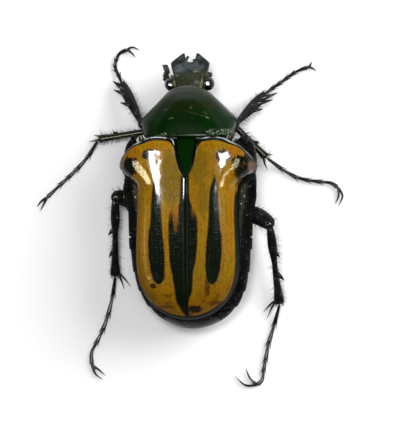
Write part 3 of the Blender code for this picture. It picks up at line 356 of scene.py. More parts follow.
# Feelers: the stalk's route and thickness, and the club's route with its leaves' gap and sizes
FEELERS = {
    "left": {
        "thick": 1.3, "gap": 0.16,
        "leaf": ((0, 0.07, 0.12), (0.25, 0.1, 0.2), (0.7, 0.105, 0.23), (1, 0.07, 0.16)),
        "stalk": ((-1.45, 11.98, 3.3), (-1.9, 12.02, 3.25), (-2.28, 12.15, 3.2), (-2.25, 12.75, 3.18)),
        "club": ((-2.12, 12.62, 3.18), (-2.4, 13.42, 3.15)),
    },
    "right": {
        "thick": 1.0, "gap": 0.19,
        "leaf": ((0, 0.15, 0.0875), (0.25, 0.25, 0.125), (0.7, 0.2875, 0.13125), (1, 0.2, 0.0875)),
        "stalk": ((1.4, 12.2, 3.35), (1.55, 12.4, 3.3), (1.64, 12.48, 3.15), (1.64, 12.5, 2.95)),
        "club": ((1.63, 12.5, 3.15), (1.55, 12.46, 2.25)),
    },
}
STALK_JOINTS = 6
STALK_WAIST = 0.7
STALK_BEAD = 0.09

# Stripes of the wing cases: x of an edge along y, on the animal as it lies
SUTURE_LEFT = (
    (3.4, -0.42), (1.0, -0.5), (0.5, -0.85), (-0.1, -1.4), (-1.9, -1.5), (-4.3, -1.41), (-5.8, -1.19),
    (-7.2, -0.99), (-7.9, -0.9), (-8.6, -0.63), (-9.3, -0.3),
)
SUTURE_RIGHT = (
    (3.4, 0.35), (1.2, 0.4), (0.3, 0.85), (-1.9, 1.14), (-4.3, 0.96), (-5.8, 0.67), (-7.2, 0.58),
    (-7.9, 0.34), (-8.6, 0.22), (-9.3, 0.2),
)
DISC_INNER = (
    (3.5, 2.74), (3.0, 2.62), (1.8, 2.28), (0.6, 2.2), (-0.7, 2.16), (-3.1, 1.95), (-4.9, 1.87),
    (-5.8, 1.9), (-6.2, 1.98), (-6.5, 2.2), (-6.66, 2.45),
)
DISC_OUTER = (
    (3.5, 2.7), (3.0, 2.8), (1.8, 2.98), (0.6, 3.08), (-0.7, 3.14), (-3.1, 3.34), (-4.9, 3.22),
    (-5.8, 3.05), (-6.2, 2.92), (-6.5, 2.68), (-6.66, 2.5),
)
# Marks: x, y, reach across, reach along, strength
SPOTS = (  # dark, beside the stripes
    (3.5, 5.05, 0.72, 0.62, 0.9), (-3.3, 5.25, 0.62, 0.5, 0.9),
    (2.0, -6.85, 0.3, 0.75, 0.55), (0.8, -8.9, 0.7, 0.32, 0.8), (-2.95, -6.75, 0.3, 0.24, 0.75),
    (2.9, -8.3, 0.8, 0.2, 0.4), (-1.9, -8.7, 0.9, 0.18, 0.4), (5.7, 4.75, 0.55, 0.5, 0.85),
    (4.9, 4.55, 0.7, 0.55, 1.0), (5.3, 3.7, 0.95, 1.1, 1.0), (-4.85, 4.6, 0.5, 0.35, 0.9),
    (-5.3, 3.85, 0.9, 1.0, 1.0),
)
ORANGE = (  # warm
    (4.9, 5.55, 1.1, 0.5, 0.9), (-4.9, 5.4, 1.0, 0.6, 0.9), (0.75, 1.3, 0.32, 1.0, 0.7),
    (-0.72, -0.7, 0.09, 1.4, 1.0), (-4.1, -1.5, 0.45, 3.6, 0.5), (4.0, -1.0, 0.4, 3.2, 0.5),
)
# Painted shade: olive patches that darken the inner disc of the wing cases
OLIVE_SHADE = ((1.2, 4.2, 0.9, 2.0, 0.6), (-1.3, 3.0, 1.1, 2.6, 0.75), (1.6, 1.2, 0.5, 1.6, 0.5))
# Painted sheen: grey-blue patches on the front plate of the head
FRONT_PLATE_SHEEN = ((-0.9, 13.02, 0.7, 0.45, 0.9), (0.65, 13.15, 0.6, 0.5, 0.8), (-0.1, 13.4, 0.6, 0.4, 0.8))
# Painted highlights: pale glints and short arcs on the brow
BROW_GLINTS = (
    (1.05, 11.5, 0.1, 0.28, 0.6), (1.16, 11.85, 0.09, 0.28, 0.6), (0.7, 11.8, 0.3, 0.2, 0.25),
    (-1.14, 12.4, 0.3, 0.06, 0.4), (0.5, 12.77, 0.22, 0.09, 0.5),
)
LOBE_DARK = ((-1.1, 13.82, 0.32, 0.34, 1.0), (0.93, 13.7, 0.32, 0.4, 1.0))
# Painted glints on small scars of the neck shield
NECK_SCAR_GLINTS = (
    (-1.86, 9.3, 0.35, 0.1, 0.3), (-1.36, 8.48, 0.3, 0.09, 0.35), (1.9, 8.57, 0.22, 0.09, 1.0),
    (1.74, 8.95, 0.3, 0.2, 0.16), (0.93, 8.86, 0.9, 0.07, 0.2), (0.43, 9.48, 0.12, 0.14, 0.3),
)
RIDGE_SHINE = ((5.2, 3.0, 0.9, 0.3, 1.0), (-5.2, 3.0, 0.9, 0.3, 1.0))
# Painted glints: places of pale specks along the base of the neck shield
NECK_GLINT_PLACES = ((3.2, 7.25, 1.3, 0.3, 1.0), (-1.9, 7.03, 0.35, 0.12, 1.0))
# Pinkish-brown ovals on the outer sides of the shoulders
SHOULDER_OVALS = ((5.95, 4.0, 0.32, 0.62, 1.0), (-5.95, 4.0, 0.32, 0.62, 1.0))
STREAK = ((-0.85, -0.4, 0.3, 1.7, 0.6),)
# Colours inside the paints
MOTTLE_TINT = (0.11, 0.05, 0.002)
PIT_TINT = (0.06, 0.025, 0.002)
DOT_TINT = (0.055, 0.025, 0.003)
# painted shade: the amber darkens towards the rear, where the back slopes away
REAR_SHADE_TINT = (0.03, 0.016, 0.0005)
REAR_TINT = (0.2, 0.085, 0.003)
REAR_CLOUD = (0.05, 0.028, 0.003)
STRIPE_FRINGE = (0.11, 0.035, 0.004)
SHOULDER_OVAL_TINT = (0.13, 0.07, 0.05)
# painted highlight along the front edge of the wing cases
FRONT_EDGE_HIGHLIGHT = (0.42, 0.45, 0.43)
BROWNER = (4.5, 0.9, 2.0)  # factors of the shield's green
# colour of the painted glints on the neck shield's scars
SCAR_GLINT_TINT = (0.3, 0.32, 0.2)
# colour of the painted glints along the neck shield's base
NECK_GLINT_TINT = (0.42, 0.46, 0.38)
# colour of the painted sheen on the front plate
FRONT_PLATE_SHEEN_TINT = (0.085, 0.1, 0.11)
LOBE_TINT = (0.003, 0.0035, 0.003)
HEAD_GRAIN = (0.004, 0.005, 0.004)
BROW_TINT = (0.012, 0.017, 0.008)
BROW_STREAK = (0.075, 0.075, 0.03)
HEAD_PIT = (0.003, 0.004, 0.003)
HEAD_SPECK = (0.22, 0.17, 0.1)
# colour of the painted highlights on the brow
BROW_GLINT_TINT = (0.3, 0.31, 0.2)
# colour of the painted glints on the black shells
BLACK_GLINT_TINT = (0.22, 0.23, 0.23)
EYE_EDGE = (0.03, 0.008, 0.02)
BLACK_SHELLS = {  # spacing, size and depth of the pits, roughness, coat and shine
    "flank": (0.22, 0.11, 0.03, 0.25, 0.02, 0.02),
    "tail_plate": (0.14, 0.05, 0.008, 0.35, 0.1, 0.12),
    "leg": (0.2, 0.07, 0.014, 0.14, 0.3, 0.06),
}
# Painted shade: the chest, hind body and neck ring's underside take the black at half its brightness
FLANK_SHADE = 0.5
STRIPE_SOFT = 0.13
ROW_GAP = 0.4
DOT_GAP = 0.27

# Studio: the picture's height in its own points, the camera's aim across, and the room's light by direction
PICTURE_HEIGHT = 423
CAMERA_AIM = 0.498
ROOM_TINT = (0.95, 1.0, 0.98)
WINDOW = (0.25, 0.97, 0.0)
ROOM_LIGHT = ((0.0, 0.6), (0.2, 1.1), (0.42, 1.1), (0.6, 0.1), (0.75, 0.02), (1.0, 0.02))
LAMPS = (  # name, size, direction, distance, whether it lights dull surfaces, whether shells mirror it
    ("key", (0.1, 0.1), (0.0, 0.15, 1.0), 0.55, True, False),
    ("gleam", (0.1, 0.1), (0.0, 0.15, 1.0), 0.5, False, True),
    ("left", (0.108, 0.149), (-0.62, -0.15, 1.0), 0.5, False, True),
    ("right", (0.115, 0.12), (0.45, -0.1, 1.0), 0.5, False, True),
    ("side", (0.3, 0.3), (0.85, 0.5, 0.75), 0.5, True, False),
    ("top", (0.4, 0.4), (0.0, 0.0, 1.0), 0.6, True, False),
)
LAMP_TINTS = {"left": (1.0, 0.91, 0.58), "right": (1.0, 0.91, 0.58)}
SENSOR = 36.0
FLOOR_SIZE = 3.0
FLOOR_DROP = 0.00002
BODY_HEIGHT = 0.004


def length_property(name, description, default):
    """A size in metres that the sidebar shows as a length."""
    return FloatProperty(
        name=name, description=description, default=default, min=0.0, unit="LENGTH", precision=5
    )


def colour_property(name, description, default):
    return FloatVectorProperty(
        name=name, description=description, default=default, min=0.0, max=1.0, size=3, subtype="COLOR"
    )


def power_property(name, description, default):
    return FloatProperty(name=name, description=description, default=default, min=0.0, unit="POWER")


class BeetleShells(bpy.types.PropertyGroup):
    """Sizes of the wing cases."""

    top: length_property("Back height", "Height of the back above the floor", 0.0085)
    rim: length_property("Rim height", "Height of the wing cases' side edge", 0.0047)
    wall: length_property("Shell thickness", "Thickness of a wing case", 0.00035)
    shoulder_half: length_property("Shoulder half width", "Half of the width over the shoulders", 0.00625)
    waist_half: length_property("Waist half width", "Half of the width behind the shoulders", 0.0045)
    rear_half: length_property("Rear half width", "Half of the width at the widest rear part", 0.00465)


class BeetleLimbs(bpy.types.PropertyGroup):
    """Sizes of the legs and feelers."""

    toe_radius: length_property("Toe radius", "Radius of a toe joint at its end", 0.00021)
    spine_length: length_property("Spine length", "Length of the spines at the end of a toe joint", 0.00042)
    feeler_radius: length_property("Feeler radius", "Radius of the feeler's stalk", 0.00025)


class BeetleHairs(bpy.types.PropertyGroup):
    """Size and number of the hairs."""

    length: length_property("Hair length", "Length of a usual hair", 0.00075)
    radius: length_property("Hair radius", "Radius of a hair at its root", 0.000014)
    per_millimetre: FloatProperty(
        name="Density", description="Hairs on each millimetre of a fringe", default=22.0
    )
    seed: IntProperty(name="Seed", description="Start of the random draw", default=11)


class BeetleColours(bpy.types.PropertyGroup):
    """Colours of the shells, eyes, legs and hairs."""

    amber: colour_property("Amber", "Main colour of the wing cases", (0.275, 0.15, 0.003))
    orange: colour_property("Orange", "Warm parts of the wing cases", (0.28, 0.105, 0.003))
    olive: colour_property("Olive", "Shaded parts of the wing cases", (0.115, 0.078, 0.0025))
    stripe: colour_property("Stripes", "Dark stripes of the wing cases", (0.0025, 0.0055, 0.0025))
    green: colour_property("Shield green", "Neck shield and small shield", (0.0015, 0.0135, 0.0012))
    head: colour_property("Head", "Head and front plate", (0.014, 0.018, 0.015))
    black: colour_property("Black", "Underside, thighs, shins and feet", (0.004, 0.0045, 0.0042))
    eye: colour_property("Eyes", "Eyes", (0.004, 0.0025, 0.003))
    feeler: colour_property("Feelers", "Feelers and palps", (0.01, 0.009, 0.008))
    hair: colour_property("Hair", "Fringes and bristles", (0.022, 0.016, 0.011))
    floor: colour_property("Floor", "Paper under the beetle", (0.9, 0.905, 0.9))


class BeetleStudio(bpy.types.PropertyGroup):
    """Camera and lights."""

    tilt: FloatProperty(
        name="Camera tilt", description="Lean of the camera from straight above to the beetle's right",
        default=math.radians(6.0), subtype="ANGLE",
    )
    distance: length_property("Camera distance", "From the camera to the beetle", 1.0)
    pixel: length_property("Pixel size", "Width that one picture pixel covers", 0.0000912)
    key: power_property("Key light", "Power of the light by the camera", 0.95)
    gleam: power_property("Gleam", "Power of the lamp that shells mirror by the camera", 2.3)
    left: power_property("Left lamp", "Power of the small lamp on the left", 1.9)
    right: power_property("Right lamp", "Power of the small lamp on the right", 1.2)
    side: power_property("Side light", "Power of the broad light on the right", 2.2)
    top: power_property("Top light", "Power of the broad light overhead", 1.4)
    room: FloatProperty(name="Room light", description="Strength of the light from all round", default=1.0)


def deselect():
    if bpy.context.mode != "OBJECT":
        bpy.ops.object.mode_set(mode="OBJECT")
    bpy.ops.object.select_all(action="DESELECT")


def select_only(*objects):
    deselect()
    for obj in objects:
        obj.select_set(True)
    bpy.context.view_layer.objects.active = objects[0]


def added(name):
    """The primitive that an operator has just added, under its own name."""
    obj = bpy.context.object
    obj.name = name
    obj.data.name = name
    return obj


@contextmanager
def editing(obj):
    """Edit mode on one mesh, with all of it selected. At its end the faces are turned outwards."""
    select_only(obj)
    bpy.ops.object.mode_set(mode="EDIT")
    bpy.ops.mesh.select_all(action="SELECT")
    yield
    bpy.ops.mesh.select_all(action="SELECT")
    bpy.ops.mesh.normals_make_consistent(inside=False)
    bpy.ops.object.mode_set(mode="OBJECT")


def weld(obj):
    """Merges the points of a seam or a pole."""
    with editing(obj):
        bpy.ops.mesh.remove_doubles(threshold=WELD)
    return obj


def twin(obj):
    """A copy of an object with a mesh of its own."""
    copy = obj.copy()
    copy.data = obj.data.copy()
    bpy.context.scene.collection.objects.link(copy)
    return copy


def joined(name, objects):
    """Several meshes made one."""
    select_only(*objects)
    bpy.ops.object.join()
    return added(name)


def skin(name, rings, attribute=None):
    """A grid primitive laid through rings of points, with its seam and its ends welded."""
    rings = np.asarray(rings, np.float32)
    rows, columns = rings.shape[:2]
    deselect()
    bpy.ops.mesh.primitive_grid_add(x_subdivisions=columns - 1, y_subdivisions=rows - 1)
    obj = added(name)
    obj.data.vertices.foreach_set("co", rings[..., :3].ravel())
    if attribute:
        layer = obj.data.attributes.new(attribute, "FLOAT", "POINT")
        layer.data.foreach_set("value", rings[..., 3].ravel())
    return weld(obj)


def plate_rings(top, under):
    """Rings round a plate between two grids of points, closed to a line at both ends."""
    ends = [(top[row] + under[row]) / 2 for row in (0, -1)]
    top = np.concatenate([ends[0][None], top, ends[1][None]])
    under = np.concatenate([ends[0][None], under, ends[1][None]])
    return np.concatenate([top, under[:, ::-1], top[:, :1]], axis=1)


def finish_piece(obj, material, slot, *nodes, angle=40):
    """Moves a piece into the frame, dresses it, hides the solids that it stands for and hangs it on the
    root.
    """
    obj.data.transform(TO_FRAME)
    obj.data.materials.clear()
    obj.data.materials.append(material)
    select_only(obj)
    bpy.ops.object.shade_smooth_by_angle(angle=math.radians(angle))
    if nodes:
        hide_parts(*nodes)
    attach(obj, "root")
    return obj


def smooth(value, low=0.0, high=1.0):
    """Rises smoothly from 0 to 1 between two values, or falls where the first is the larger."""
    share = np.clip((value - low) / (high - low), 0.0, 1.0)
    return share * share * (3 - 2 * share)


def arch(share, power):
    """Falls from 1 at share 0 to 0 at share 1, and more squarely the higher the power is."""
    return np.maximum(1 - share ** power, 0) ** (1 / power)


def bell(distance, reach):
    return np.exp(-(distance / reach) ** 2)


def mound(x, y, place_x, place_y, reach_x, reach_y, lift):
    """A round rise of a surface."""
    return lift * bell(x - place_x, reach_x) * bell(y - place_y, reach_y)


def eased(count):
    """Shares from 0 to 1 that lie closer together at both ends."""
    return 0.5 - 0.5 * np.cos(np.linspace(0, math.pi, count))


def points_of(*axes):
    """Points from their coordinates, of which each is a number or an array."""
    return np.stack(np.broadcast_arrays(*axes), axis=-1)


def unit(vectors):
    return vectors / np.linalg.norm(vectors, axis=-1, keepdims=True)


def mirrored(points, side):
    """Points given on the right, for the side that 1 or -1 stands for."""
    return [(side * x, y, z) for x, y, z in points]


def profile(table, where):
    """Smooth value of a size that is given at a few places."""
    places, values = np.array(sorted(table), float).T
    padded_places = np.concatenate([places[:1], places, places[-1:]])
    padded_values = np.concatenate([values[:1], values, values[-1:]])
    slopes = (padded_values[2:] - padded_values[:-2]) / (padded_places[2:] - padded_places[:-2])
    where = np.clip(where, places[0], places[-1])
    left = np.clip(np.searchsorted(places, where, side="right") - 1, 0, len(places) - 2)
    span = places[left + 1] - places[left]
    share = (where - places[left]) / span
    square = share * share
    cube = square * share
    return (
        (2 * cube - 3 * square + 1) * values[left] + (cube - 2 * square + share) * span * slopes[left]
        + (3 * square - 2 * cube) * values[left + 1] + (cube - square) * span * slopes[left + 1]
    )


def rounded(points, parts=8):
    """A finer route on a curve through the given points."""
    points = np.asarray(points, float)
    padded = np.concatenate([points[:1], points, points[-1:]])
    t = np.linspace(0, 1, parts, endpoint=False)[:, None]
    pieces = []
    for a, b, c, d in zip(padded, padded[1:], padded[2:], padded[3:]):
        square, cube = 2 * a - 5 * b + 4 * c - d, 3 * b - a - 3 * c + d
        pieces.append(0.5 * (2 * b + (c - a) * t + square * t * t + cube * t ** 3))
    return np.concatenate(pieces + [points[-1:]])


def spread(route, shares):
    """Points of a route at shares of its length."""
    route = np.asarray(route, float)
    steps = np.linalg.norm(np.diff(route, axis=0), axis=1)
    lengths = np.concatenate([[0.0], np.cumsum(steps)])
    where = np.asarray(shares) * lengths[-1]
    return points_of(*(np.interp(where, lengths, axis) for axis in route.T))


def between_edges(front, rear, inner, outer, s, t):
    """Points inside four edge curves. The front and rear run along s, the inner and outer along t."""
    s, t = s[None, :, None], t[:, None, None]
    front, rear, inner, outer = front[None], rear[None], inner[:, None], outer[:, None]
    corners = (
        front[:, :1] * (1 - s) * (1 - t) + front[:, -1:] * s * (1 - t)
        + rear[:, :1] * (1 - s) * t + rear[:, -1:] * s * t
    )
    return front * (1 - t) + rear * t + inner * (1 - s) + outer * s - corners


def normals_of(grid):
    """Upward normals of a grid of points."""
    normals = np.cross(np.gradient(grid, axis=1), np.gradient(grid, axis=0))
    normals /= np.maximum(np.linalg.norm(normals, axis=-1, keepdims=True), 1e-9)
    return np.where(normals[..., 2:] < 0, -normals, normals)


class Back:
    """The shape of the back over the wing cases."""

    def __init__(self, sizes):
        self.top = sizes.top / MM
        self.rim = sizes.rim / MM
        self.wall = sizes.wall / MM
        self.shoulder = sizes.shoulder_half / MM
        self.waist = sizes.waist_half / MM
        self.rear = sizes.rear_half / MM

    def half(self, y):
        """Half of the back's width."""
        shoulder = smooth(y, WAIST_START, SHOULDER_END)
        rear = smooth(y, WAIST_START, REAR_CENTRE)
        return self.waist + (self.shoulder - self.waist) * shoulder + (self.rear - self.waist) * rear

    def height(self, x, y, inset=0.0):
        """Height of the back, or of a surface that lies inside it by the inset."""
        across = np.abs(x) / (np.minimum(self.half(y), self.half(y - inset)) - inset)
        ahead = np.maximum(y - FRONT_CENTRE, 0) / (FRONT_LENGTH - 0.5 * inset if inset else CASE_AHEAD)
        behind = np.maximum(REAR_CENTRE - y, 0) / (REAR_LENGTH - inset)
        front = (across ** FRONT_POWER + ahead ** FRONT_POWER) ** (1 / FRONT_POWER)
        rear = (across ** REAR_POWER + behind ** REAR_POWER) ** (1 / REAR_POWER)
        edge = np.minimum(np.where(y > FRONT_CENTRE, front, rear), 1.0)
        if inset:
            rise = self.top - self.rim - CASE_ARCH * (y - 1.0) ** 2 - inset
            return self.rim + rise * arch(edge, DOME_POWER)
        rise = self.top - self.rim + profile(CASE_FALL, y) + self.relief(x, y)
        return self.rim + rise * arch(edge, profile(CASE_SQUARE, y))

    def relief(self, x, y):
        """The long ridge with its slopes, the rear knob, the rib along the seam and the ripple."""
        side = np.abs(x)
        crest = profile(CREST, y) + np.where(x > 0, profile(CREST_SHIFT, y), 0)
        lift = np.where(x > 0, profile(SIDE_LIFT[1], y), profile(SIDE_LIFT[-1], y)) * smooth(side, 0.0, 2.0)
        rib = SEAM_RIB * bell(side, SEAM_RIB_REACH) * smooth(y, SHIELD_TIP + 0.4, SHIELD_TIP - 0.2)
        return (
            ridge_slope(crest - side, y, CREST_SLOPE, CREST_ROUND) + mound(side, y, *REAR_KNOB) + lift
            + ridge_slope(side - crest, y, OUTER_SLOPE, OUTER_ROUND)
            + rib * (0.15 + 0.85 * smooth(y, 0.4, 2.0))
            + ripple(x, y, 0.45, 1.0) * (0.15 + 0.85 * smooth(y, 2.5, 4.5))
        )

    def rear_edge(self, turn):
        """Points of the rear outline at turns from the side to the seam."""
        x, y = np.cos(turn) ** (2 / REAR_POWER), np.sin(turn) ** (2 / REAR_POWER)
        return points_of(self.rear * x, REAR_CENTRE - REAR_LENGTH * y)


def ridge_slope(distance, y, slope, blend):
    """The fall of a surface beside a ridge, whose crest is rounded off."""
    blend = profile(blend, y)
    return profile(slope, y) * (blend - np.sqrt(np.maximum(distance, 0) ** 2 + blend ** 2))


def ripple(x, y, shortest, longest):
    """Faint unevenness of a shell: many low waves that cross each other."""
    draw = random.Random(3)
    total = 0.0
    for _ in range(RIPPLE_WAVES):
        turn = draw.uniform(0, math.pi)
        length = draw.uniform(shortest, longest)
        along = x * math.cos(turn) + y * math.sin(turn)
        total = total + length * np.sin(2 * math.pi * along / length + draw.uniform(0, 2 * math.pi))
    return total * RIPPLE


def distance_to(curve, points):
    """Distance of each point from a curve of close points."""
    gaps = points[:, :, None] - curve[None, None]
    return np.sqrt((gaps ** 2).sum(axis=-1)).min(axis=-1)


def wing_case_rows(back, side):
    """Top of a wing case drawn on the right, row by row from the front, with the distance from its edge."""
    across, along = CASE_GRID
    s = eased(across)
    t = 0.75 * eased(along) + 0.25 * np.sin(np.linspace(0, math.pi / 2, along))
    notch = [(profile(SHIELD_HALF, y) + NOTCH_GAP, y) for y in NOTCH_PLACES]
    front = rounded([(CASE_SEAM, SHIELD_TIP - 0.12), *notch, *CASE_FRONT, SHOULDER_EDGE[0]])
    corner = math.radians(TAIL_CORNER)
    outer = np.concatenate([rounded(SHOULDER_EDGE), back.rear_edge(np.linspace(0, corner, 24)[1:])])
    tail = back.rear_edge(np.linspace(math.pi / 2, corner, 24))
    tail[0, 0] = CASE_SEAM
    inner = np.array([front[0], tail[0]])
    flat = between_edges(spread(front, s), spread(tail, s), spread(inner, t), spread(outer, t), s, t)
    x, y = flat[..., 0], flat[..., 1]
    rim = profile(CASE_EDGE, y)
    height = np.maximum(back.height(side * x, y), rim)
    height = rim + (height - rim) * arch(s[None], CASE_FALL_POWER)
    to_front, to_tail, to_side = (
        distance_to(spread(curve, np.linspace(0, 1, count)), flat)
        for curve, count in ((front, 240), (tail, 120), (outer, 240))
    )
    to_end = np.minimum(to_front, to_tail)
    close = np.clip(1 - np.minimum(to_end, x - CASE_SEAM) / CASE_ROUND, 0, 1)
    place, reach, lift = CASE_BEAD
    bead = lift * bell(to_front - place, reach) * smooth(x, 4.6, 4.1)
    lowest = np.minimum(rim, height) - 0.2
    height = np.maximum(height + bead - CASE_ROUND * (1 - arch(close, 2)), lowest)
    return points_of(x, y, height, np.minimum(to_end, to_side))


def wing_case(back, side):
    """One wing case: a thin domed shell with rounded edges."""
    top = wing_case_rows(back, side)
    under = top.copy()
    under[..., :3] -= normals_of(top[..., :3]) * back.wall
    under[:, 0, 0] = CASE_SEAM
    under[..., 2] = np.maximum(under[..., 2], back.rim - 0.05)
    rings = plate_rings(top, under)
    rings[..., 0] *= side
    return skin("wing_case_shell_" + ("right" if side > 0 else "left"), rings, "edge")


def small_shield(back):
    """The long triangle between the wing cases, with rounded edges."""
    s = np.sin(np.linspace(-1, 1, 17) * math.pi / 2)
    y = np.linspace(SHIELD_BASE, SHIELD_TIP + 0.02, 40)[:, None]
    half = np.maximum(profile(SHIELD_HALF, y) - 0.01, 0.02)
    fall = SHIELD_FALL * np.abs(s) ** 3 * np.minimum(1, half / 0.2)
    top = points_of(half * s, y, back.height(np.zeros_like(y), y) + 0.02 - fall)
    return skin("small_shield", plate_rings(top, top - UP * SHIELD_DEPTH))


def neck_shield():
    """The domed shield behind the head, with a fine bead along its sides."""
    s = np.sin(np.linspace(-1, 1, 113) * math.pi / 2)
    t = eased(84)
    front = points_of(NECK_FRONT_HALF * s, NECK_FRONT - NECK_FRONT_SAG * s * s)
    base = points_of(NECK_SIDE[0][0] * s, NECK_BASE - NECK_BASE_SAG * (1 - s * s))
    right = spread(rounded(NECK_SIDE), t)
    flat = between_edges(base, front, right * (-1, 1), right, (s + 1) / 2, t)
    x, y = flat[..., 0], flat[..., 1]
    side = np.abs(s)[None]
    edge = profile(NECK_EDGE, y)
    dome = arch(side, profile(NECK_POWER, y))
    height = edge + (profile(NECK_CROWN, y) - edge) * dome
    place, reach, lift = NECK_BEAD
    bead = lift * bell((1 - side) * np.abs(flat[:, -1:, 0]) - place, reach)
    to_base = y - y[:1]
    reach, depth = NECK_ROUND
    close = np.clip(1 - to_base / reach, 0, 1)
    height = height + bead * smooth(to_base, 0.0, 0.4) - depth * (1 - arch(close, 2))
    rough = sum(mound(x, y, *place) for place in NECK_ROUGH)
    height = height + ripple(x, y, 0.25, 0.6) * (0.5 + rough) * smooth(side, 1.0, 0.9)
    floor = np.minimum(profile(NECK_UNDER, y) + 0.3 * side ** 2, height - NECK_LIP * (0.25 + 0.75 * dome))
    return skin("neck_shield", plate_rings(points_of(x, y, height), points_of(x, y, floor)))


def trunk_ring(back, y, swell=0.0, sink=0.0):
    """Outline of the trunk across the body at y, closed."""
    shelf = profile(TRUNK_SHELF, y)
    half = profile(TRUNK_HALF, y) + swell
    inner = min(back.half(y), back.half(y - TRUNK_INSET)) - TRUNK_INSET
    if y < REAR_CENTRE:
        inner *= arch(min((REAR_CENTRE - y) / (REAR_LENGTH - TRUNK_INSET), 1.0), REAR_POWER)
    inner = min(max(inner, 0.45 * half), half - 0.35)
    widest = profile(TRUNK_WIDEST, y)
    belly = profile(TRUNK_BELLY, y) + sink
    x = inner * np.sin(np.linspace(0, math.pi / 2, 12))
    height = back.height(x, np.full_like(x, y), TRUNK_INSET)
    height = np.where(height > back.rim + 0.3, np.maximum(height, shelf), shelf)
    top = points_of(x, height)
    top[-1] = (inner, shelf)
    turn = np.linspace(0, math.pi / 2, 9)[1:]
    lip = points_of(inner + (half - inner) * np.sin(turn), widest + (shelf - widest) * np.cos(turn))
    low = np.cos(np.linspace(0, math.pi / 2, 18))
    under = points_of(half * low, widest - (widest - belly) * arch(low, 1.6 + 0.4 * smooth(y, 1.0, -2.0)))
    right = np.concatenate([top, lip, under])
    lean = np.where(np.arange(len(right)) < len(top), 0.0, TAIL_LEAN * smooth(y, TRUNK_CUT, TAIL_END))
    ring = np.concatenate([right, right[-2::-1] * (-1, 1)])
    return points_of(ring[:, 0] + np.concatenate([lean, lean[-2::-1]]), y, ring[:, 1])


def pole(ring):
    """A ring drawn together in its middle."""
    return np.broadcast_to(np.mean(ring, axis=0), np.shape(ring))


def capped(rings):
    """Closes both ends of a row of rings with a pole."""
    return np.stack([pole(rings[0]), *rings, pole(rings[-1])])


class Limb:
    """A tapering piece along a smooth route, flattened as its sizes say, with domed ends."""

    def __init__(self, route, sizes):
        self.route = rounded(route) if len(route) > 2 else np.asarray(route, float)
        self.length = np.linalg.norm(np.diff(self.route, axis=0), axis=1).sum()
        self.wide = [(place, wide) for place, wide, _ in sizes]
        self.deep = [(place, deep) for place, _, deep in sizes]

    def frame_at(self, share):
        """Centre, sideways, upward and forward directions at shares of the length."""
        share = np.asarray(share, float)
        centre = spread(self.route, share)
        before, after = np.maximum(share - 0.02, 0), np.minimum(share + 0.02, 1)
        heading = unit(spread(self.route, after) - spread(self.route, before))
        across = level_across(heading, 0.95)
        return centre, across, np.cross(across, heading), heading

    def surface(self, share, turn, lift=0.0):
        """Points on the skin at shares of the length and turns round it."""
        centre, across, upward, _ = self.frame_at(share)
        dome = 1.0
        for place, end in ((share, 0), (1 - share, -1)):
            size = min(self.wide[end][1], self.deep[end][1])
            dome = dome * arch(np.clip(1 - place * self.length / size, 0, 1), 2)
        side = (profile(self.wide, share) * dome + lift) * np.cos(turn)
        rise = (profile(self.deep, share) * dome + lift) * np.sin(turn)
        return centre + across * side[..., None] + upward * rise[..., None]

    def skin(self, name, around, along):
        """The whole limb as one mesh."""
        turn = np.linspace(0, 2 * math.pi, around + 1)[None]
        share, turn = np.broadcast_arrays(eased(along)[:, None], turn)
        return skin(name, self.surface(share, turn))


def level_across(heading, steepest):
    """Level directions across the headings, except for those that are steeper than a share of upright."""
    helper = np.where(np.abs(heading[..., 2:]) > steepest, np.array((1.0, 0.0, 0.0)), UP)
    return unit(np.cross(heading, helper))


def ball(name, place, size, segments=28, rings=18):
    """A sphere primitive stretched to an egg shape, in place."""
    deselect()
    bpy.ops.mesh.primitive_uv_sphere_add(segments=segments, ring_count=rings, radius=1.0, location=place)
    bpy.ops.transform.resize(value=size)
    bpy.ops.object.transform_apply(location=True, rotation=True, scale=True)
    return added(name)


def chest(back):
    """The chest, with the plates that show beside the wing cases, the leg roots and the breast's keel."""
    rings = [trunk_ring(back, y) for y in (*np.linspace(6.6, 5.0, 9), *np.linspace(4.7, 0.3, 16))]
    rings += [trunk_ring(back, y, -0.14 * smooth(y, 0.25, 0.15)) for y in np.linspace(0.24, -2.2, 12)]
    rings.append(trunk_ring(back, TRUNK_CUT + TRUNK_SLIT, -0.2, 0.06))
    pieces = [skin("chest", capped(rings))]
    for side in (-1, 1):
        pieces.append(shoulder_plate(side))
        for name, place, size in CHEST_BALLS:
            pieces.append(ball(name, *mirrored([place], side), size))
        for name, route, sizes, around, along in CHEST_RIDGES:
            pieces.append(Limb(mirrored(route, side), sizes).skin(name, around, along))
    pieces.append(Limb(KEEL, KEEL_SIZES).skin("keel", 16, 24))
    return joined("chest", pieces)


def shoulder_plate(side):
    """The plate that fills the notch between the neck shield and the shoulder of the wing case."""
    place, size = SHOULDER_PLATE
    plate = ball("shoulder_plate", (0, 0, 0), size)
    turn = math.radians(SHOULDER_PLATE_TURN * side)
    bpy.ops.transform.rotate(value=turn, orient_axis="Z", center_override=(0, 0, 0))
    bpy.ops.transform.translate(value=mirrored([place], side)[0])
    bpy.ops.object.transform_apply(location=True, rotation=True, scale=True)
    return plate


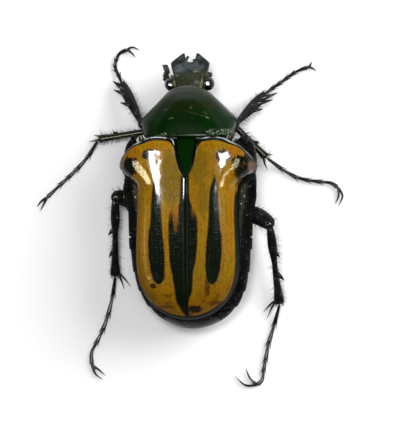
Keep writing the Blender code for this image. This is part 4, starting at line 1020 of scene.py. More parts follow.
def hind_body(back):
    """The hind body, whose belly plates each end in a fine step, and its tail plate."""
    rings = [trunk_ring(back, TRUNK_CUT + 0.5, -0.45, 0.3), trunk_ring(back, TRUNK_CUT, -0.3, 0.1)]
    start = TRUNK_CUT - TRUNK_SLIT
    for end in SEGMENT_ENDS:
        for share in SEGMENT_SHARES:
            step = SEGMENT_STEP * (1 - share if share < 1 else 0.6)
            rings.append(trunk_ring(back, start + (end - start) * share, -step, 0.7 * step))
        start = end - 0.01
    rings += [trunk_ring(back, y, -SEGMENT_STEP * smooth(y, -9.6, -8.8)) for y in TAIL_PLACES]
    tip = np.broadcast_to(TAIL_TIP, rings[-1].shape)
    whole = skin("whole_hind_body", np.stack([pole(rings[0]), *rings, tip]))
    top = Vector((0, *RUMP_TOP))
    slope = (Vector((0, *RUMP_FOOT)) - top).normalized()
    outward = Vector((0, slope.z, -slope.y))
    slit = outward * 0.02
    tail = twin(whole)
    return cut(whole, top - slit, outward, "belly"), cut(tail, top + slit, -outward, "tail_plate")


def cut(obj, point, normal, name):
    """Cuts away the side of a plane that its normal points to, and fills the cut."""
    with editing(obj):
        bpy.ops.mesh.bisect(plane_co=point, plane_no=normal, use_fill=True, clear_outer=True)
    return added(name)


def boxy(value):
    """A sine or cosine that draws a rounded box in place of a circle."""
    return np.sign(value) * np.abs(value) ** 0.75


def throat():
    """The underside of the neck ring with the roots of the front legs."""
    turn = np.linspace(0, 2 * math.pi, 41)
    rings = []
    for y in (7.1, 7.15, *np.linspace(7.3, 10.4, 14), 10.55, 10.6):
        foot = profile(THROAT_FOOT, y)
        reach = max(abs(y - THROAT_MIDDLE) / THROAT_REACH, 0.6)
        pinch = THROAT_END + (1 - THROAT_END) * math.sqrt(max(1 - reach ** 6, 0.0))
        x = profile(THROAT_HALF, y) * pinch * boxy(np.cos(turn))
        z = (THROAT_TOP + foot) / 2 + (THROAT_TOP - foot) / 2 * pinch * boxy(np.sin(turn))
        rings.append(points_of(x, y, z))
    place, size = FRONT_ROOT
    roots = [ball("front_root", *mirrored([place], side), size) for side in (-1, 1)]
    return joined("throat", [skin("throat", capped(rings)), *roots])


def head_shell():
    """Skull and front plate, with a raised border, and the ridges in front of the eyes."""
    s = np.linspace(-1, 1, 97)
    t = eased(60)
    lobe = rounded(HEAD_LOBE)
    front = spread(np.concatenate([lobe * (-1, 1), lobe[-2::-1]]), (s + 1) / 2)
    rear = points_of(HEAD_REAR[0] * s, HEAD_REAR[1])
    right = spread(rounded(HEAD_SIDE), t)
    flat = between_edges(rear, front, right * (-1, 1), right, (s + 1) / 2, t)
    x, y = flat[..., 0], flat[..., 1]
    ahead = np.clip((t - 0.8) / 0.2, 0, 1)[:, None]
    behind = np.clip(1 - t / 0.05, 0, 1)[:, None]
    side = np.abs(s)[None]
    edge = np.minimum((side ** 6 + ahead ** 6) ** (1 / 6), 1.0)
    thick = arch(np.maximum(side, edge * smooth(y, 12.4, 13.2)), profile(HEAD_POWER, y)) * arch(behind, 2)
    top, foot = profile(HEAD_TOP, y), profile(HEAD_FOOT, y)
    middle = (top + foot) / 2 + profile(HEAD_RIM, y) * edge ** 5
    rise = (top - foot) / 2 * thick
    place, reach, lift = HEAD_BROW
    relief = lift * bell(y - place, reach) * (1 - side ** 4) - mound(np.abs(x), y, *HEAD_HOLLOW)
    rings = plate_rings(points_of(x, y, middle + rise + relief), points_of(x, y, middle - rise))
    pieces = [skin("skull", rings)]
    for sign, wide in CANTHUS_WIDTH.items():
        sizes = ((0, 0.05 * wide, 0.07), (0.5, 0.08 * wide, 0.1), (1, 0.06 * wide, 0.08))
        pieces.append(Limb(mirrored(CANTHUS, sign), sizes).skin("eye_ridge", 12, 24))
    return joined("head_shell", pieces)


def eye_ball(side, name):
    """An eye whose top is a little flatter, so that it mirrors the lamp as a round spot."""
    place = np.array(EYE_PLACE[side])
    obj = ball(name, place, EYE_SIZE, 96, 64)
    points = np.empty(len(obj.data.vertices) * 3, np.float32)
    obj.data.vertices.foreach_get("co", points)
    points = points.reshape(-1, 3) - place
    up = unit(EYE_FACING)
    rise = points @ up
    aside = ((points - rise[:, None] * up - EYE_SPOT[side]) ** 2).sum(axis=1)
    most = EYE_SIZE[2] - EYE_FLAT - aside / EYE_BEND
    points += np.minimum(most - rise, 0)[:, None] * up
    obj.data.vertices.foreach_set("co", (points + place).astype(np.float32).ravel())
    return obj


def mouth():
    """Jaws and lip under the front plate, and the palps that show in its notch."""
    palps = [Limb(route, PALP_SIZES).skin(name, 12, 30) for name, route in PALPS.items()]
    return joined("mouth", [Limb(JAW, JAW_SIZES).skin("jaw", 24, 30), *palps])


def feeler(side, radius):
    """A feeler: a beaded stalk and a club of three leaves."""
    parts = FEELERS[side]
    wide = radius * parts["thick"]
    narrow = wide * STALK_WAIST
    sizes = []
    for start in np.arange(STALK_JOINTS) / STALK_JOINTS:
        sizes += [(start, narrow, narrow), (start + STALK_BEAD, wide, wide)]
    pieces = [Limb(parts["stalk"], [*sizes, (1.0, narrow, narrow)]).skin("stalk", 12, 60)]
    for leaf in (-1, 0, 1):
        route = [(x + parts["gap"] * leaf, y, z + 0.03 * abs(leaf)) for x, y, z in parts["club"]]
        pieces.append(Limb(route, parts["leaf"]).skin("leaf", 14, 24))
    return joined("feeler_" + side, pieces)


def leg_kind(name):
    return name.split("_")[0]


def thigh_limb(name):
    """Hip to knee, with a bend where the hind thigh leaves the body's side."""
    points = np.array([LEGS[name][part] for part in ("hip", "bend", "knee") if part in LEGS[name]])
    sizes = THIGH[leg_kind(name)]
    points[-1] += unit(points[-1] - points[-2]) * min(sizes[-1][1:])
    return Limb(points, sizes)


def shin_limb(name):
    """Just below the knee to the ankle."""
    knee, ankle = np.array(LEGS[name]["knee"]), np.array(LEGS[name]["ankle"])
    return Limb([knee + unit(ankle - knee) * KNEE_GAP, ankle], SHIN[leg_kind(name)])


def thigh(name):
    limb = thigh_limb(name)
    root = ball("trochanter", limb.frame_at(0.04)[0], HIP_SIZE, 20, 12)
    return joined(name + "_thigh", [limb.skin("thigh", 24, 36), root])


def shin(name):
    """Knee to ankle with its outer teeth, its end spurs and the ring of short spines round its end."""
    leg = LEGS[name]
    limb = shin_limb(name)
    start, ankle = limb.route[0], limb.route[-1]
    heading = (ankle - start) / limb.length
    pieces = [limb.skin("shin", 20, 48)]
    for tip in leg["teeth"]:
        share = (np.array((*tip, 0.0)) - (start[0], start[1], 0.0)) @ heading / limb.length
        root = start + (ankle - start) * min(share - 0.07, 0.9)
        end = np.array((*tip, root[2] - TOOTH_DROP))
        middle = (root + end) / 2 - heading * 0.05
        pieces.append(Limb([root, middle, end], TOOTH_SIZES).skin("tooth", 12, 20))
    for tip in leg["spurs"]:
        root = start + (ankle - start) * 0.93
        end = np.array((*tip, SPUR_HEIGHT))
        aside = end - root
        aside -= heading * (aside @ heading)
        root = root + unit(aside) * 0.2
        middle = (root + end) / 2 + aside * 0.06
        pieces.append(Limb([root, middle, end], SPUR_SIZES).skin("spur", 10, 20))
    for turn in np.linspace(0, 2 * math.pi, 9)[:-1]:
        root = limb.surface(np.array(0.95), np.array(turn), -0.04)
        end = limb.surface(np.array(1.0), np.array(turn), 0.34) + heading * 0.2
        pieces.append(Limb([root, end], SPINE_SIZES).skin("spine", 6, 8))
    return joined(name + "_shin", pieces)


def toe_sizes(radius):
    return [(place, radius * size, radius * size) for place, size in TOE_PROFILE]


def toe_model(radius, spine):
    """One toe joint of unit length along +Y: narrow at its root, wider at its end, with four end spines."""
    pieces = [Limb([(0, 0, 0), (0, 1, 0)], toe_sizes(radius)).skin("toe", 14, 24)]
    for x, z in TOE_SPINES:
        deselect()
        bpy.ops.mesh.primitive_cone_add(
            vertices=6, radius1=0.05, radius2=0.008, depth=1.0, location=(0, 0, 0.5)
        )
        bpy.ops.object.transform_apply(location=True, rotation=False, scale=False)
        cone = added("spine")
        heading = Vector((x, 1.5, z * 0.6)).normalized()
        turn = heading.to_track_quat("Z", "Y").to_matrix().to_4x4()
        size = spine * (1.0 if z < 0 else 0.6)
        root = Vector((x * radius * 0.8, 0.88, z * radius * 0.8))
        cone.data.transform(Matrix.Translation(root) @ turn @ Matrix.Diagonal((1, 1, size, 1)))
        pieces.append(cone)
    return joined("toe_model", pieces)


def foot(name, model, radius):
    """Four toe joints, copies of one model, the long last one, and two claws with a bristle between them."""
    leg = LEGS[name]
    joints = np.array([(x, y, TOE_HEIGHT) for x, y in leg["foot"]])
    ankle = np.array(leg["ankle"])
    ends = [ankle + unit(joints[0] - ankle) * 0.02, *joints[:4]]
    pieces = [placed_toe(model, root, tip) for root, tip in zip(ends, ends[1:])]
    pieces.append(Limb(joints[3:], toe_sizes(radius * 0.95)).skin("last_toe", 14, 40))
    for bend, tip in leg["claws"]:
        path = [joints[-1], (*bend, CLAW_HEIGHT + 0.05), (*tip, CLAW_HEIGHT - 0.06)]
        pieces.append(Limb(path, CLAW_SIZES).skin("claw", 12, 30))
    between = np.mean([(*bend, CLAW_HEIGHT) for bend, _ in leg["claws"]], axis=0)
    bristle = joints[-1] + (between - joints[-1]) * 0.75
    pieces.append(Limb([joints[-1], bristle], BRISTLE_SIZES).skin("bristle", 6, 8))
    return joined(name + "_foot", pieces)


def placed_toe(model, root, tip):
    """A copy of the toe model between two points, stretched along its length only."""
    toe = twin(model)
    heading = Vector(tip - root)
    stretch = Matrix.Diagonal((1, heading.length, 1, 1))
    heading.normalize()
    across = heading.cross(Vector(UP)).normalized()
    turn = Matrix((across, heading, across.cross(heading))).transposed().to_4x4()
    toe.data.transform(Matrix.Translation(Vector(root)) @ turn @ stretch)
    return toe


def maths(operation, swapped=False):
    """A method of a wire that adds one Math node."""
    def method(wire, *others):
        values = (*others, wire) if swapped else (wire, *others)
        return wire.paint.add("ShaderNodeMath", {"operation": operation}, values)
    return method


class Wire:
    """An output socket of a material that can stand in a sum."""

    def __init__(self, paint, socket):
        self.paint = paint
        self.socket = socket

    __add__, __radd__ = maths("ADD"), maths("ADD", swapped=True)
    __sub__, __rsub__ = maths("SUBTRACT"), maths("SUBTRACT", swapped=True)
    __mul__, __rmul__ = maths("MULTIPLY"), maths("MULTIPLY", swapped=True)
    __truediv__ = maths("DIVIDE")
    __pow__ = maths("POWER")
    size = maths("ABSOLUTE")
    larger = maths("MAXIMUM")
    part = maths("FRACT")


class Nodes:
    """A node tree and the one way in which nodes are added to it."""

    def __init__(self, tree, shader):
        self.tree = tree
        self.shader = tree.nodes[shader]

    def add(self, kind, settings=(), sockets=(), out=0):
        """Adds a node with its settings, its sockets' values or links, and gives one output."""
        node = self.tree.nodes.new(kind)
        for key, value in dict(settings).items():
            if key == "points":
                curve = node.mapping.curves[0]
                while len(curve.points) < len(value):
                    curve.points.new(0.5, 0.5)
                for point, place in zip(curve.points, value):
                    point.location = place
                    point.handle_type = "AUTO_CLAMPED"
                node.mapping.update()
            else:
                setattr(node, key, value)
        for key, value in sockets.items() if isinstance(sockets, dict) else enumerate(sockets):
            if isinstance(value, Wire):
                self.tree.links.new(value.socket, node.inputs[key])
            else:
                node.inputs[key].default_value = value
        return Wire(self, node.outputs[out])

    def link(self, socket, wire):
        self.tree.links.new(wire.socket, self.shader.inputs[socket])

    def coats(self, base, *coats):
        """A colour with others laid over it in turn, each by its factor."""
        for factor, colour in coats:
            one, two = (part if isinstance(part, Wire) else (*part[:3], 1.0) for part in (base, colour))
            base = self.add("ShaderNodeMix", {"data_type": "RGBA"}, {0: factor, 6: one, 7: two}, 2)
        return base

    def step(self, value, low, high):
        """Rises smoothly from 0 to 1 between two values, or falls where the first is the larger."""
        settings = {"interpolation_type": "SMOOTHSTEP"}
        return self.add("ShaderNodeMapRange", settings, {"Value": value, "From Min": low, "From Max": high})

    def curve(self, where, table):
        """A value that follows a table of (place, value) pairs smoothly."""
        places, values = zip(*sorted(table))
        low, high = places[0], places[-1]
        least, most = min(values), max(values)
        points = [((p - low) / (high - low), (v - least) / (most - least)) for p, v in zip(places, values)]
        share = (where - low) / (high - low)
        return self.add("ShaderNodeFloatCurve", {"points": points}, (1.0, share)) * (most - least) + least


class Paint(Nodes):
    """A material and the nodes that colour it, in the beetle's own millimetres."""

    def __init__(self, name, **constants):
        self.material = bpy.data.materials.new(name)
        self.material.use_nodes = True
        super().__init__(self.material.node_tree, "Principled BSDF")
        for socket, value in constants.items():
            self.shader.inputs[socket.replace("_", " ")].default_value = value
        place = self.add("ShaderNodeTexCoord", out="Object")
        self.place = self.add(
            "ShaderNodeMapping", {"vector_type": "POINT"},
            {"Vector": place, "Location": -ORIGIN / MM, "Scale": (1 / MM,) * 3},
        )
        self.x, self.y, self.z = (
            self.add("ShaderNodeSeparateXYZ", (), (self.place,), axis) for axis in "XYZ"
        )

    def noise(self, scale, detail=3.0, stretch=(1.0, 1.0, 1.0), rough=0.5):
        """Cloudy values around 0.5."""
        place = self.add("ShaderNodeVectorMath", {"operation": "MULTIPLY"}, (self.place, stretch))
        sockets = {"Vector": place, "Scale": scale, "Detail": detail, "Roughness": rough}
        return self.add("ShaderNodeTexNoise", (), sockets)

    def pits(self, spacing, size):
        """1 in the middle of each pit of a loose pattern, 0 between them."""
        near = self.add("ShaderNodeTexVoronoi", (), {"Vector": self.place, "Scale": 1 / spacing})
        return self.step(near, size / spacing, 0.3 * size / spacing)

    def patches(self, table, wobble, slant=0.0):
        """Soft oval marks, each given by its middle, its reach both ways and its strength."""
        along = self.y + self.x.size() * slant
        marks = []
        for x, y, reach_x, reach_y, strength in table:
            near = ((self.x - x) / reach_x) ** 2.0 + ((along - y - slant * abs(x)) / reach_y) ** 2.0
            marks.append(self.step(near + wobble, 1.25, 0.45) * strength)
        return reduce(Wire.larger, marks)

    def bump(self, height, depth, after=None):
        """A relief of some millimetres' depth."""
        sockets = {"Strength": 1.0, "Distance": depth * MM, "Height": height}
        if after:
            sockets["Normal"] = after
        return self.add("ShaderNodeBump", (), sockets)


def scaled(colour, factor):
    return tuple(value * factor for value in colour)


def case_paint(colours):
    """Amber wing cases with dark stripes, puncture rows, a dark rim, pinkish shoulder ovals, painted shade
    and a painted edge highlight.
    """
    paint = Paint("amber_wing_case", Coat_Roughness=0.1, Specular_IOR_Level=0.03)
    step, patches = paint.step, paint.patches
    wave = paint.noise(1.1, 2.0) - 0.5
    fine = paint.noise(7.0) - 0.5
    x = paint.x + wave * 0.12 + fine * 0.07
    side = x.size()
    y = paint.y + fine * 0.1
    edge = paint.add("ShaderNodeAttribute", {"attribute_name": "edge"}, (), "Fac")
    mottle = paint.noise(4.5, 4.0, (1.5, 0.7, 1.0))
    rear = step(paint.y + wave * 1.5, -5.8, -7.6)

    # Rows of dots, each row a little further along than the one before
    row = side / ROW_GAP + wave * 0.5
    across = (row.part() - 0.5) * ROW_GAP
    down = ((y / DOT_GAP + (row - row.part()) * 0.37).part() - 0.5) * DOT_GAP
    dot = step(across * across + down * down, 0.006, 0.0012) * step(paint.noise(1.6), 0.36, 0.6)

    base = paint.coats(
        colours.amber,
        (step(paint.noise(0.9) + fine * 0.4, 0.4, 0.75), colours.orange),
        # painted shade over the inner disc
        (patches(OLIVE_SHADE, wave * 1.2), colours.olive),
        (patches(ORANGE, wave * 1.2), colours.orange),
        (step(paint.noise(2.2, 4.0, (3.2, 0.35, 1.0)), 0.35, 0.75) * 0.35, colours.olive),
        (step(mottle, 0.42, 0.68) * 0.5, MOTTLE_TINT),
        (paint.pits(0.15, 0.05) * 0.5, PIT_TINT),
        (dot * 0.6, DOT_TINT),
        # painted shade towards the rear
        (step(paint.y, -1.0, -8.0) * 0.25, REAR_SHADE_TINT),
        (rear * 0.45, REAR_TINT),
        (rear * step(paint.noise(1.5, 4.0), 0.48, 0.66) * 0.7, REAR_CLOUD),
    )

    def stripe(where, low, high):
        """1 between two edges that follow tables along the body."""
        inside = step(where - paint.curve(y, low), -STRIPE_SOFT, STRIPE_SOFT)
        return inside * step(where - paint.curve(y, high), STRIPE_SOFT, -STRIPE_SOFT)

    suture = stripe(x, SUTURE_LEFT, SUTURE_RIGHT) * step(y, 3.6, 3.2)
    suture = suture * (1 - step(y + wave * 1.5, -1.4, 1.0) * step(side, 0.42, 0.75))
    disc = stripe(side, DISC_INNER, DISC_OUTER) * step(y, -6.68, -6.56) * step(y, 3.6, 3.3)
    ends = 0.22 * step(paint.y, 5.7, 6.4) + 0.16 * step(paint.y, -7.8, -9.0)
    hem = step(paint.z + fine * 0.12, 5.6, 5.15).larger(step(edge + fine * 0.1 - ends, 0.24, 0.1))
    dark = suture * (1 - patches(STREAK, wave * 0.8 + fine))
    dark = dark.larger(disc).larger(patches(SPOTS, wave * 2.0 + fine * 2.9)).larger(hem)
    # Painted highlight: a pale, broken line along the front edge of each wing case
    front_edge_highlight = step(edge, 0.03, 0.08) * step(edge, 0.17, 0.11) * step(paint.y, 5.9, 6.3)
    paint.link("Base Color", paint.coats(
        base,
        (step(dark, 0.0, 0.45) * 0.75, STRIPE_FRINGE),
        (step(dark, 0.15, 0.95), colours.stripe),
        (patches(SHOULDER_OVALS, wave * 0.4) * 0.7, SHOULDER_OVAL_TINT),
        (front_edge_highlight * step(paint.noise(1.4), 0.42, 0.6), FRONT_EDGE_HIGHLIGHT),
    ))

    dull = (hem * step(paint.y, 5.5, 4.5)).larger(step(edge, 1.2, 0.7) * step(paint.y, 2.5, 1.7))
    dull = dull.larger(step(side, 0.25, 0.12) * step(paint.y, 1.6, 0.6))
    paint.link("Roughness", 0.14 + fine.size() * 0.1 + dot * 0.1 + dull * 0.35)
    worn = step(side, 3.6, 4.2) * step(paint.noise(4.2, 4.0, (1.4, 0.8, 1.0), 0.7), 0.46, 0.56)
    smoothest = step(side + wave, 1.7, 2.4).larger(step(side, 0.5, 0.3))
    gloss = 0.5 - dull * 0.5 - dot * 0.3 - step(mottle, 0.5, 0.62) * 0.12
    gloss = gloss * (1 - worn * 0.6) * (0.15 + smoothest * 0.85)
    paint.link("Coat Weight", gloss * (0.25 + step(paint.y, -0.5, 2.2) * 0.75))
    relief = paint.bump(paint.noise(2.2), 0.015)
    paint.link("Normal", paint.bump(paint.pits(0.2, 0.09) * -0.5 - dot, 0.01, relief))
    return paint.material


def shield_paint(name, colour, gloss, worn):
    """Very dark green shell with fine pits. A worn one has scars with painted glints, pale specks that are
    painted glints, and coarse pits too.
    """
    paint = Paint(name, Coat_Roughness=0.12, Specular_IOR_Level=gloss * 0.1)
    cloud = paint.noise(0.6)
    fine = paint.noise(7.0)
    pits = paint.pits(0.17, 0.05)
    margin = paint.step(paint.x.size() * 0.75 + paint.y * 0.42, 5.9, 6.7)
    front = paint.step(paint.y, 9.7, 10.7) * paint.step(paint.x.size(), 2.4, 1.4)
    browner = tuple(value * factor for value, factor in zip(colour, BROWNER))
    base = paint.coats(
        colour,
        (paint.step(paint.y + (cloud - 0.5) * 2.0, 8.3, 9.8), browner),
        (paint.step(cloud, 0.45, 0.62) * 0.5, scaled(colour, 0.5)),
        (pits * 0.6, scaled(colour, 0.3)),
    )
    relief = paint.bump(fine * 0.4 - pits, 0.008)
    if worn:
        specks = paint.step(paint.noise(10.0, 3.0, (0.7, 1.3, 1.0), 0.7), 0.55, 0.63)
        # painted glints on small scars, broken into specks
        scar_glints = paint.patches(NECK_SCAR_GLINTS, (fine - 0.5) * 4.0, 0.3) * (specks * 0.85 + 0.15)
        # painted glints: pale specks along the base
        glint_specks = specks * paint.patches(NECK_GLINT_PLACES, (cloud - 0.5) * 2.0)
        base = paint.coats(base, (scar_glints, SCAR_GLINT_TINT), (glint_specks, NECK_GLINT_TINT))
        coarse = paint.step(paint.y, 7.9, 7.1).larger(margin)
        relief = paint.bump(paint.pits(0.2, 0.1) * coarse * -1.0, 0.03, relief)
    paint.link("Base Color", base)
    paint.link("Roughness", 0.3 + (fine - 0.5) * 0.1 + pits * 0.15)
    paint.link("Coat Weight", gloss * (1.0 + front * 2.6 - margin * 0.6))
    paint.link("Normal", relief)
    return paint.material


def head_paint(colours):
    """Pitted head: black lobes, a painted grey sheen between them, and a streaked olive brow with pale
    specks and painted glints.
    """
    paint = Paint("head_shell", Coat_Roughness=0.15, Specular_IOR_Level=0.18)
    step = paint.step
    pits = paint.pits(0.13, 0.06)
    streaks = paint.noise(5.5, 3.0, (3.0, 0.5, 1.0))
    fine = paint.noise(7.0) - 0.5
    grain = paint.noise(5.0, 4.0, (1.6, 0.8, 1.0), 0.7)
    brow = step(paint.y + fine * 0.5 - paint.x * 0.1, 12.85, 12.4)
    # painted sheen on the front plate
    front_plate_sheen = paint.patches(FRONT_PLATE_SHEEN, fine * 1.5 + (paint.noise(1.8) - 0.5) * 3.0)
    specks = step(paint.noise(6.5, 2.0, (1.0, 1.0, 1.0), 0.7), 0.54, 0.62)
    # painted highlights on the brow
    light = paint.patches(BROW_GLINTS, fine * 4.0) * (0.3 + step(streaks, 0.45, 0.6) * 0.7)
    paint.link("Base Color", paint.coats(
        colours.head,
        (front_plate_sheen * (0.35 + step(grain, 0.4, 0.62) * 0.65), FRONT_PLATE_SHEEN_TINT),
        (paint.patches(LOBE_DARK, fine * 2.0) * 0.8, LOBE_TINT),
        (step(grain, 0.5, 0.3) * 0.7, HEAD_GRAIN),
        (brow, BROW_TINT),
        (brow * step(streaks, 0.5, 0.68) * 0.75, BROW_STREAK),
        (pits * 0.75, HEAD_PIT),
        (specks * step(paint.x, -0.95, -1.4) * brow, HEAD_SPECK),
        (light, BROW_GLINT_TINT),
    ))
    paint.link("Coat Weight", brow * 0.25)
    paint.link("Roughness", 0.38 + pits * 0.2 - brow * 0.1)
    paint.link("Normal", paint.bump(streaks * brow * 0.7 - pits, 0.02))
    return paint.material


def black_paint(name, colour):
    """Black shell with shallow pits, a few pale specks that are painted glints, glossy spots and a ridge
    that shines.
    """
    spacing, size, depth, rough, coat, shine = BLACK_SHELLS[name]
    paint = Paint(name, Coat_Roughness=0.12, Specular_IOR_Level=shine)
    pits = paint.pits(spacing, size)
    fine = paint.noise(8.0)
    specks = paint.step(paint.noise(6.0, 3.0, (1.0, 1.0, 1.0), 0.7), 0.6, 0.7)
    paint.link("Base Color", paint.coats(
        colour,
        (paint.step(paint.noise(0.7), 0.4, 0.7), scaled(colour, 1.9)),
        # painted glints: a few pale specks
        (specks * paint.step(paint.noise(1.3), 0.42, 0.6), BLACK_GLINT_TINT),
    ))
    paint.link("Roughness", rough + pits * 0.2 + (fine - 0.5) * 0.15)
    sparkle = paint.pits(0.4, 0.12) * paint.step(paint.noise(1.7), 0.42, 0.52)
    paint.link("Coat Weight", coat + sparkle.larger(paint.patches(RIDGE_SHINE, (fine - 0.5) * 2.0)) * 0.45)
    paint.link("Normal", paint.bump(fine * 0.5 - pits, depth))
    return paint.material


def eye_paint(colours):
    """Near black eyes with fine facets and a faint purple edge."""
    paint = Paint("eye", Coat_Weight=1.0, Coat_Roughness=0.1, Specular_IOR_Level=0.1)
    facets = paint.pits(0.03, 0.016)
    outer = paint.step(paint.x.size(), 1.8, 2.2) * paint.step(paint.z, 4.3, 3.9)
    paint.link("Base Color", paint.coats(colours.eye, (outer * 0.8, EYE_EDGE)))
    paint.link("Roughness", 0.1 + facets * 0.05)
    paint.link("Normal", paint.bump(facets, 0.0015))
    return paint.material


def plain_paint(name, colour, rough):
    """A dull surface whose colour changes a little from place to place."""
    paint = Paint(name, Specular_IOR_Level=0.4)
    fine = paint.noise(6.0)
    paint.link("Base Color", paint.coats(scaled(colour, 0.6), (fine, scaled(colour, 1.5))))
    paint.link("Roughness", rough + (fine - 0.5) * 0.2)
    paint.link("Normal", paint.bump(fine, 0.008))
    return paint.material


def hair_mesh(name, roots, tips, radius, patches):
    """Thin tapered hairs from root to tip, each with its own small patch of the unwrap."""
    along = tips - roots
    lengths = np.linalg.norm(along, axis=1, keepdims=True)
    along = along / lengths
    across = level_across(along, 0.9)
    upward = np.cross(across, along)
    points = []
    for share, size in HAIR_TAPER:
        centre = roots + along * lengths * share - UP * lengths * HAIR_DROOP * share ** 2
        for corner in range(3):
            turn = 2 * math.pi * corner / 3
            points.append(centre + (across * math.cos(turn) + upward * math.sin(turn)) * radius * size)
    points.append(tips - UP * lengths * HAIR_DROOP)
    faces = [(0, 2, 1)]
    for corner, other in ((0, 1), (1, 2), (2, 0)):
        for ring in (0, 3):
            faces.append((ring + corner, ring + other, ring + 3 + other))
            faces.append((ring + corner, ring + 3 + other, ring + 3 + corner))
        faces.append((6 + corner, 6 + other, 9))
    starts = np.arange(len(roots))[:, None, None] * len(points)
    mesh = bpy.data.meshes.new(name)
    mesh.from_pydata(np.stack(points, axis=1).reshape(-1, 3), [], (starts + faces).reshape(-1, 3).tolist())
    patch = np.array(((-1, -1), (1, -1), (0, 1))) * HAIR_PATCH
    uv = patches[:, None, None] + np.broadcast_to(patch, (len(roots), len(faces), 3, 2))
    mesh.uv_layers.new(name="OFBake").data.foreach_set("uv", uv.astype(np.float32).ravel())
    obj = bpy.data.objects.new(name, mesh)
    bpy.context.scene.collection.objects.link(obj)
    with editing(obj):
        pass  # its end turns the faces outwards
    return obj


def limb_hairs(limb, draw, count, turns, length, column, spans=(0.08, 0.97), lean=0.5):
    """Roots, tips and unwrap places of a fringe along a limb, between two turns round it."""
    share = np.array([draw.uniform(*spans) for _ in range(count)])
    turn = np.array([math.radians(draw.uniform(*turns)) for _ in range(count)])
    size = np.array([length * draw.uniform(*HAIR_SIZES) for _ in range(count)])[:, None]
    root = limb.surface(share, turn, -0.03)
    aim = unit(limb.surface(share, turn, 0.3) - root) + limb.frame_at(share)[3] * lean
    aim += np.array([[draw.uniform(-HAIR_STRAY, HAIR_STRAY) for _ in range(3)] for _ in range(count)])
    tips = root + unit(aim) * size
    tips[:, 2] = np.maximum(tips[:, 2], HAIR_LOWEST)
    across = (column + turn % (2 * math.pi) / (2 * math.pi)) / HAIR_COLUMNS
    return root, tips, points_of(across, share * 0.9 + 0.05)


class BEETLE_OT_wing_cases(bpy.types.Operator):
    """Make the two wing cases"""

    bl_idname = "beetle.wing_cases"
    bl_label = "Wing Cases"

    def execute(self, context):
        back = Back(context.scene.beetle_shells)
        material = case_paint(context.scene.beetle_colours)
        for side, label in ((-1, "left"), (1, "right")):
            finish_piece(wing_case(back, side), material, "wing_case", "wing_case_" + label, angle=50)
        return {"FINISHED"}


class BEETLE_OT_shields(bpy.types.Operator):
    """Make the neck shield and the small shield between the wing cases"""

    bl_idname = "beetle.shields"
    bl_label = "Shields"

    def execute(self, context):
        colours = context.scene.beetle_colours
        back = Back(context.scene.beetle_shells)
        neck = shield_paint("neck_shield", colours.green, gloss=0.2, worn=True)
        small = shield_paint("small_shield", colours.green, gloss=0.0, worn=False)
        finish_piece(neck_shield(), neck, "green_shield", "pronotum")
        finish_piece(small_shield(back), small, "green_shield", "scutellum")
        return {"FINISHED"}


class BEETLE_OT_trunk(bpy.types.Operator):
    """Make the chest, the hind body, the tail plate and the underside of the neck ring"""

    bl_idname = "beetle.trunk"
    bl_label = "Trunk"

    def execute(self, context):
        back = Back(context.scene.beetle_shells)
        black = context.scene.beetle_colours.black
        # painted shade: a darker copy of the black for the underside
        flank = black_paint("flank", scaled(black, FLANK_SHADE))
        belly, tail = hind_body(back)
        finish_piece(chest(back), flank, "black_body", "thorax")
        finish_piece(belly, flank, "black_body", "abdomen", angle=25)
        rump = black_paint("tail_plate", black)
        finish_piece(tail, rump, "black_body", "pygidium")
        finish_piece(throat(), flank, "black_body", "prosternum")
        return {"FINISHED"}


class BEETLE_OT_head(bpy.types.Operator):
    """Make the head with its front plate, and the mouth"""

    bl_idname = "beetle.head"
    bl_label = "Head"

    def execute(self, context):
        colours = context.scene.beetle_colours
        finish_piece(head_shell(), head_paint(colours), "head", "head")
        finish_piece(mouth(), plain_paint("mouth", colours.feeler, rough=0.4), "head", "mouthparts")
        return {"FINISHED"}


class BEETLE_OT_eyes(bpy.types.Operator):
    """Make the two eyes"""

    bl_idname = "beetle.eyes"
    bl_label = "Eyes"

    def execute(self, context):
        material = eye_paint(context.scene.beetle_colours)
        for side, label in ((-1, "left"), (1, "right")):
            finish_piece(eye_ball(side, "eye_ball_" + label), material, "eye", "eye_" + label)
        return {"FINISHED"}


class BEETLE_OT_feelers(bpy.types.Operator):
    """Make the two feelers"""

    bl_idname = "beetle.feelers"
    bl_label = "Feelers"

    def execute(self, context):
        radius = context.scene.beetle_limbs.feeler_radius / MM
        material = plain_paint("feeler", context.scene.beetle_colours.feeler, rough=0.4)
        for label in FEELERS:
            finish_piece(feeler(label, radius), material, "feeler", "antenna_" + label)
        return {"FINISHED"}


class BEETLE_OT_legs(bpy.types.Operator):
    """Make the thighs, shins and feet of all six legs"""

    bl_idname = "beetle.legs"
    bl_label = "Legs"

    def execute(self, context):
        limbs = context.scene.beetle_limbs
        radius = limbs.toe_radius / MM
        material = black_paint("leg", context.scene.beetle_colours.black)
        model = toe_model(radius, limbs.spine_length / MM)
        for name in LEGS:
            finish_piece(thigh(name), material, "leg", name + "_femur")
            finish_piece(shin(name), material, "leg", name + "_tibia")
            finish_piece(foot(name, model, radius), material, "leg", name + "_tarsus")
        bpy.data.objects.remove(model, do_unlink=True)
        return {"FINISHED"}


